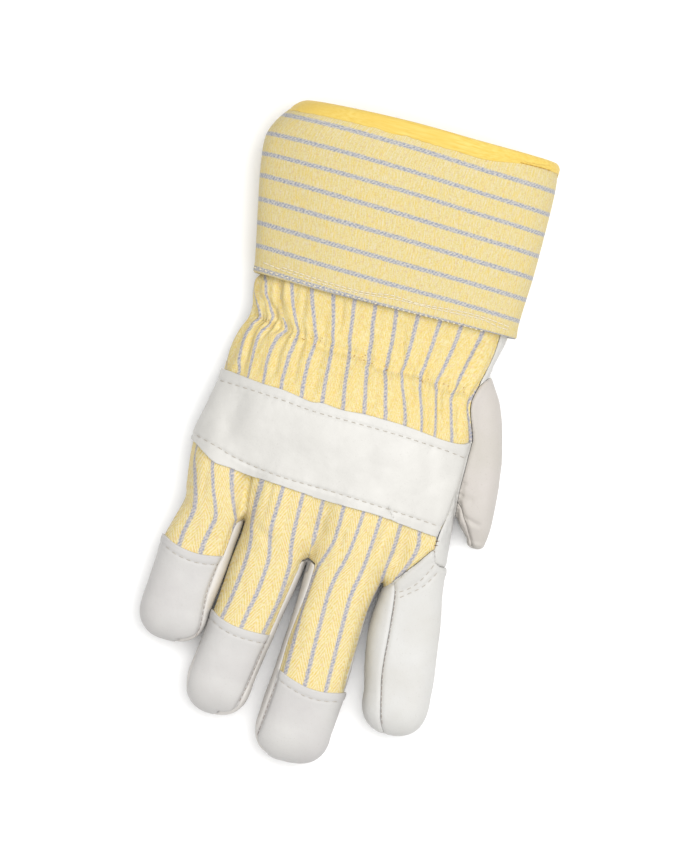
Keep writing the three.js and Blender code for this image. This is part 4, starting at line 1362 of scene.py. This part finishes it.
tape = {
    "edge": 125.4, "count": 640, "topFrom": 22,
    "step": 0.2, "from": 125.7, "to": 129.8, "start": 0.2, "rise": 0.65, "riseOver": (125, 128.4),
    "low": [[-66, 0.3], [-30, -0.6], [8, -1.3], [30, -1.2], [42, 0.8], [47, 1.3], [54, 1.6],
            [62, 1.2]],  # x, how much further up its lower edge lies
    # the crease's line also carries the ochre thread that paints its shadow
    "crease": [[42.5, 124.9], [46, 124.95], [50, 125.05], [54, 125.1], [56.5, 125.0]],
    "creaseDepth": 0.45, "creaseWidth": 0.36,
    "ragged": [(9, 7, 0.9), (2.5, 8, 0.45)],  # size, seed, how far
    "raggedWidth": 1.4, "raggedFrom": 10,
    "begin": [(0, -0.1), (0.1, 0.22)],  # its outer edge: y from the edge, grow
    "over": [(130.5, 0.45), (131.1, -0.3), (131.2, -1.0), (131.0, -1.8), (130.3, -2.7),
             (129, -3.1), (127, -3.1)],  # over the rim and down inside: y, grow
    "end": [(0.2, -2.9), (0, -2.1)],
    "lowOver": (-127.9, -123.8),  # -y over which the lower edge's wave sets in
}


def sewTape():
    edge = tape["edge"]
    profile = [(edge + y, grow) for y, grow in tape["begin"]]
    for y in np.arange(tape["from"], tape["to"], tape["step"]):
        profile.append((y, tape["start"] + tape["rise"] * smoothStep(y, *tape["riseOver"])))
    profile += tape["over"] + [(edge + y, grow) for y, grow in tape["end"]]
    points, quads = sweep(profile, evenTurns(tape["count"])[0])
    onTop = points[:, 2] > tape["topFrom"]
    crease = alongFold(points, tape["crease"], tape["creaseWidth"])
    points[:, 2] -= tape["creaseDepth"] * crease * onTop
    low = lineAlongX(tape["low"])(points[:, 0]) * onTop
    points[:, 1] += low * smoothStep(-points[:, 1], *tape["lowOver"])
    ragged = sum(noise3(points * [1, 0, 1], size, seed) * far for size, seed, far in tape["ragged"])
    ragged *= bell(points[:, 1] - edge - low, tape["raggedWidth"])
    points[:, 1] += ragged * (points[:, 2] > tape["raggedFrom"])
    addPiece("yellow_tape", points, quads.tolist(), tapeCotton, "cuff_binding")


sewTape()
print("cuff:", cuff["count"], "points round it,", tape["count"], "round its tape")

# Stitches: short threads laid on the finished pieces from above. Lines are [x, y] places.

looks = {  # in mm
    "strap": {"pitch": 3.4, "length": 2.1, "width": 0.4},
    "tips": {"pitch": 3.4, "length": 2.1, "width": 0.36},
    # thin and nearly unbroken: painted shade of a seam's gap and its stitch holes
    "seamShade": {"pitch": 2.4, "length": 2.15, "width": 0.2},
    # the tape's row runs almost unbroken: painted crease shadow
    "tape": {"pitch": 1.9, "length": 1.9, "width": 0.42},
    "hem": {"pitch": 2.6, "length": 2.5, "width": 0.65},
    "hemEdge": {"pitch": 2.4, "length": 1.1, "width": 0.5},
    "elastic": {"pitch": 1.0, "length": 0.7, "width": 0.34},
    "tack": {"pitch": 2.2, "length": 1.9, "width": 0.42},
}
stitchForm = {  # the rings of a stitch: place along it, size, height; and how flat they are
    "rings": [(-0.5, 0.25, -0.3), (-0.38, 0.8, 0.35), (0, 1.0, 0.7), (0.38, 0.8, 0.35),
              (0.5, 0.25, -0.3)],
    "sides": 6, "flat": 0.75, "castFrom": 0.08,  # the height in m that the rays come from
}


def surfaceUnder(names):
    # the finished pieces that the stitches lie on, for rays from above
    points, faces, start = [], [], 0
    for name in names:
        mesh = shown[name].data
        co = np.zeros(len(mesh.vertices) * 3)
        mesh.vertices.foreach_get("co", co)
        points.append(co.reshape(-1, 3))
        faces += [[start + i for i in polygon.vertices] for polygon in mesh.polygons]
        start += len(mesh.vertices)
    return BVHTree.FromPolygons(np.concatenate(points).tolist(), faces)


def stitchRow(tree, line, look):
    # the stitches along a seam line: the surface's point and normal at both ends and the middle
    line = np.array(line, float)
    _, (x, y) = smoothTable(np.column_stack([np.arange(len(line)), line]), 600)
    far = np.concatenate([[0], np.cumsum(np.hypot(np.diff(x), np.diff(y)))])
    made = []
    half = look["length"] / 2
    at = look["pitch"] / 2
    while at < far[-1]:
        ends = []
        for s in (at - half, at, at + half):
            px, py = np.interp(s, far, x), np.interp(s, far, y)
            px, py = (px + gloveShift[0]) / 1000, (py + gloveShift[1]) / 1000
            start = Vector((px, py, stitchForm["castFrom"]))
            hit, normal, _, _ = tree.ray_cast(start, Vector((0, 0, -1)))
            ends.append((hit, normal))
        if all(hit is not None for hit, _ in ends):
            made.append(ends)
        at += look["pitch"]
    return made


def sewStitches(name, rows, look, material):
    # one mesh for all the stitches of a colour: low rounded threads that dip in at both ends
    points, faces = [], []
    half, sides, rings = look["width"] / 2000, stitchForm["sides"], stitchForm["rings"]
    angles = [k * 2 * math.pi / sides for k in range(sides)]
    for (a, _), (m, nm), (b, _) in rows:
        side = nm.cross((b - a).normalized()).normalized()
        start = len(points)
        for share, size, height in rings:
            centre = a.lerp(b, share + 0.5) + (m - (a + b) / 2) * (1 - (2 * share) ** 2)
            centre = centre + nm * (height * half)
            wide, tall = half * size, half * stitchForm["flat"] * size
            for t in angles:
                points.append(centre + side * (math.cos(t) * wide) + nm * (math.sin(t) * tall))
        for r in range(len(rings) - 1):
            for k in range(sides):
                i, j = start + r * sides + k, start + r * sides + (k + 1) % sides
                faces.append([i, j, j + sides, i + sides])
        faces.append([start + k for k in range(sides - 1, -1, -1)])
        faces.append([start + (len(rings) - 1) * sides + k for k in range(sides)])
    points = np.array([list(p) for p in points]) * 1000 - gloveShift
    addPiece(name, points, faces, material, None)


def elasticLines(count):
    # short ends and loops that stand out of the cloth here and there along the wrist
    lines = []
    for x in chance.uniform(-48, 43, count):
        y = wristLine(x) + chance.normal(0, 1.1)
        lines.append([[x - 0.5, y], [x, y + 0.1], [x + 0.5, y + chance.uniform(-0.5, 0.5)]])
    return lines


tipLines = [
    [[x, tipTops[name](x) - tip["stitchDrop"]] for x in np.linspace(low, high, 6)]
    for name, low, high in (("little", -64, -42), ("ring", -37.5, -12.5), ("middle", -4, 23))
]
# beside the seams of the finger sides: painted shade of the seam's gap and stitch holes, laid as
# brown stitches
seamShadeLines = [
    [[line(y) + aside, y] for y in np.linspace(low, high, 9)]
    for line, low, high, aside in (
        (littleRight, -100, -66, -0.4), (indexLeft, -117, -61, 0.4),
        (ringRight, -122, -94, -0.4), (middleLeft, -134, -110, 0.4),
    )
]
hemLines = [
    [[-52, 59.6], [-41, 57.9], [-24, 56.5], [-11.5, 56.2], [6, 57.4], [20.6, 57.4], [31.3, 57.7],
     [42, 58.0], [50, 56.6], [55, 56.4]],
    [[-44, 59.3], [-24, 57.6], [-8, 57.2], [4, 58.6], [16, 57.9], [33, 59.0], [44, 58.8],
     [55, 57.6]],
]
hemEdgeLine = [[-56, 56.8], [-30, 54.9], [0, 53.8], [30, 53.6], [54, 53.2]]
tackLines = [
    [[45.6, -36.9], [47.8, -36.1]], [[45.4, -38.6], [47.4, -38.2]], [[45.0, -40.6], [46.9, -41.3]],
]
leatherPieces = [name for name in shown if name.startswith("leather_")]
upperTips = ["leather_tip_" + name for name in fingers[:3]] + ["leather_index"]
cornerPieces = ["cotton_back", "leather_palm", "leather_index", "leather_strap"]
chance = np.random.default_rng(7)
stitches = [  # name, the pieces below, its looks and their lines, thread, slot
    ("strap_stitches", ["leather_strap"], [("strap", strap["seams"])], thread, "leather"),
    ("tip_stitches", upperTips, [("tips", tipLines + indexSeams)], thread, "leather"),
    # partly stitches, partly painted shade of the seams' gaps
    ("seam_stitches_and_shade", leatherPieces, [("seamShade", seamShadeLines)], brownThreadAndShade, "leather"),
    # an ochre line along the tape's crease, painted shadow of the crease
    ("tape_crease_shadow", ["yellow_tape"], [("tape", [tape["crease"]])], creaseShadowThread, "binding_tape"),
    ("cuff_stitches", ["canvas_cuff"], [("hem", hemLines), ("hemEdge", [hemEdgeLine])],
     whiteThread, "canvas"),
    ("elastic_stitches", ["cotton_back"], [("elastic", elasticLines(30))], elasticThread, "cotton"),
    ("elastic_loops", ["cotton_back"], [("elastic", elasticLines(22))], whiteThread, "cotton"),
    ("corner_stitches", cornerPieces, [("tack", tackLines)], brownThreadAndShade, "leather"),
]
for name, under, parts, spin, slot in stitches:
    below = surfaceUnder(under)
    rows = [
        ends for look, lines in parts for line in lines
        for ends in stitchRow(below, line, looks[look])
    ]
    sewStitches(name, rows, looks[parts[0][0]], spin)
print("pieces with stitches:", len(shown))

# Floor, light and camera, as a plain studio.

studio = {
    "mmForPixel": 0.42, "picture": (700, 862), "turn": 13.7,  # of the photograph
    "far": 2500.0, "level": 20.0, "sensor": 36.0,  # in mm; the scale holds at level
    "floor": "#FDFDFD", "floorHalf": 3, "floorDepth": -0.0002, "sky": "#FFFFFF", "skyStrength": 0.5,
    "lampPower": 22.2, "lampSize": 1.2, "lampPlace": (0.22, 0.13, 1.3),  # in m
}
half, depth = studio["floorHalf"], studio["floorDepth"]
ends = [(-half, -half, depth), (half, -half, depth), (half, half, depth), (-half, half, depth)]
floorMesh = bpy.data.meshes.new("floor")
floorMesh.from_pydata(ends, [], [[0, 1, 2, 3]])
floor = bpy.data.objects.new("floor", floorMesh)
scene.collection.objects.link(floor)
# board painted a plain near-white and left matt, so that it throws no highlight
floorPaint = {"Base Color": paint(studio["floor"]), "Roughness": 0.9, "Specular IOR Level": 0.1}
floorMesh.materials.append(newMaterial("painted-board", floorPaint)[0])

sky = bpy.data.worlds.new("studio")
scene.world = sky
sky.use_nodes = True
background = sky.node_tree.nodes["Background"].inputs
background["Color"].default_value = paint(studio["sky"])
background["Strength"].default_value = studio["skyStrength"]
lamp = bpy.data.objects.new("softbox", bpy.data.lights.new("softbox", "AREA"))
lamp.data.energy, lamp.data.size = studio["lampPower"], studio["lampSize"]
lamp.location = studio["lampPlace"]
lamp.rotation_euler = (-Vector(lamp.location)).to_track_quat("-Z", "Y").to_euler()
scene.collection.objects.link(lamp)

turn = math.radians(studio["turn"])
offset = np.array([math.sin(turn), -math.cos(turn), 0]) * studio["mmForPixel"]  # one pixel up
middle = Vector(((offset + gloveShift) / 1000).tolist())
camera = bpy.data.objects.new("camera", bpy.data.cameras.new("camera"))
camera.location = middle + Vector((0, 0, (studio["far"] + studio["level"]) / 1000))
camera.rotation_euler = (0, 0, turn)
camera.data.sensor_width = studio["sensor"]
camera.data.lens = studio["sensor"] * studio["far"] / (studio["picture"][1] * studio["mmForPixel"])
camera.data.clip_start, camera.data.clip_end = 0.1, 20.0
scene.collection.objects.link(camera)
scene.camera = camera
print("studio ready")
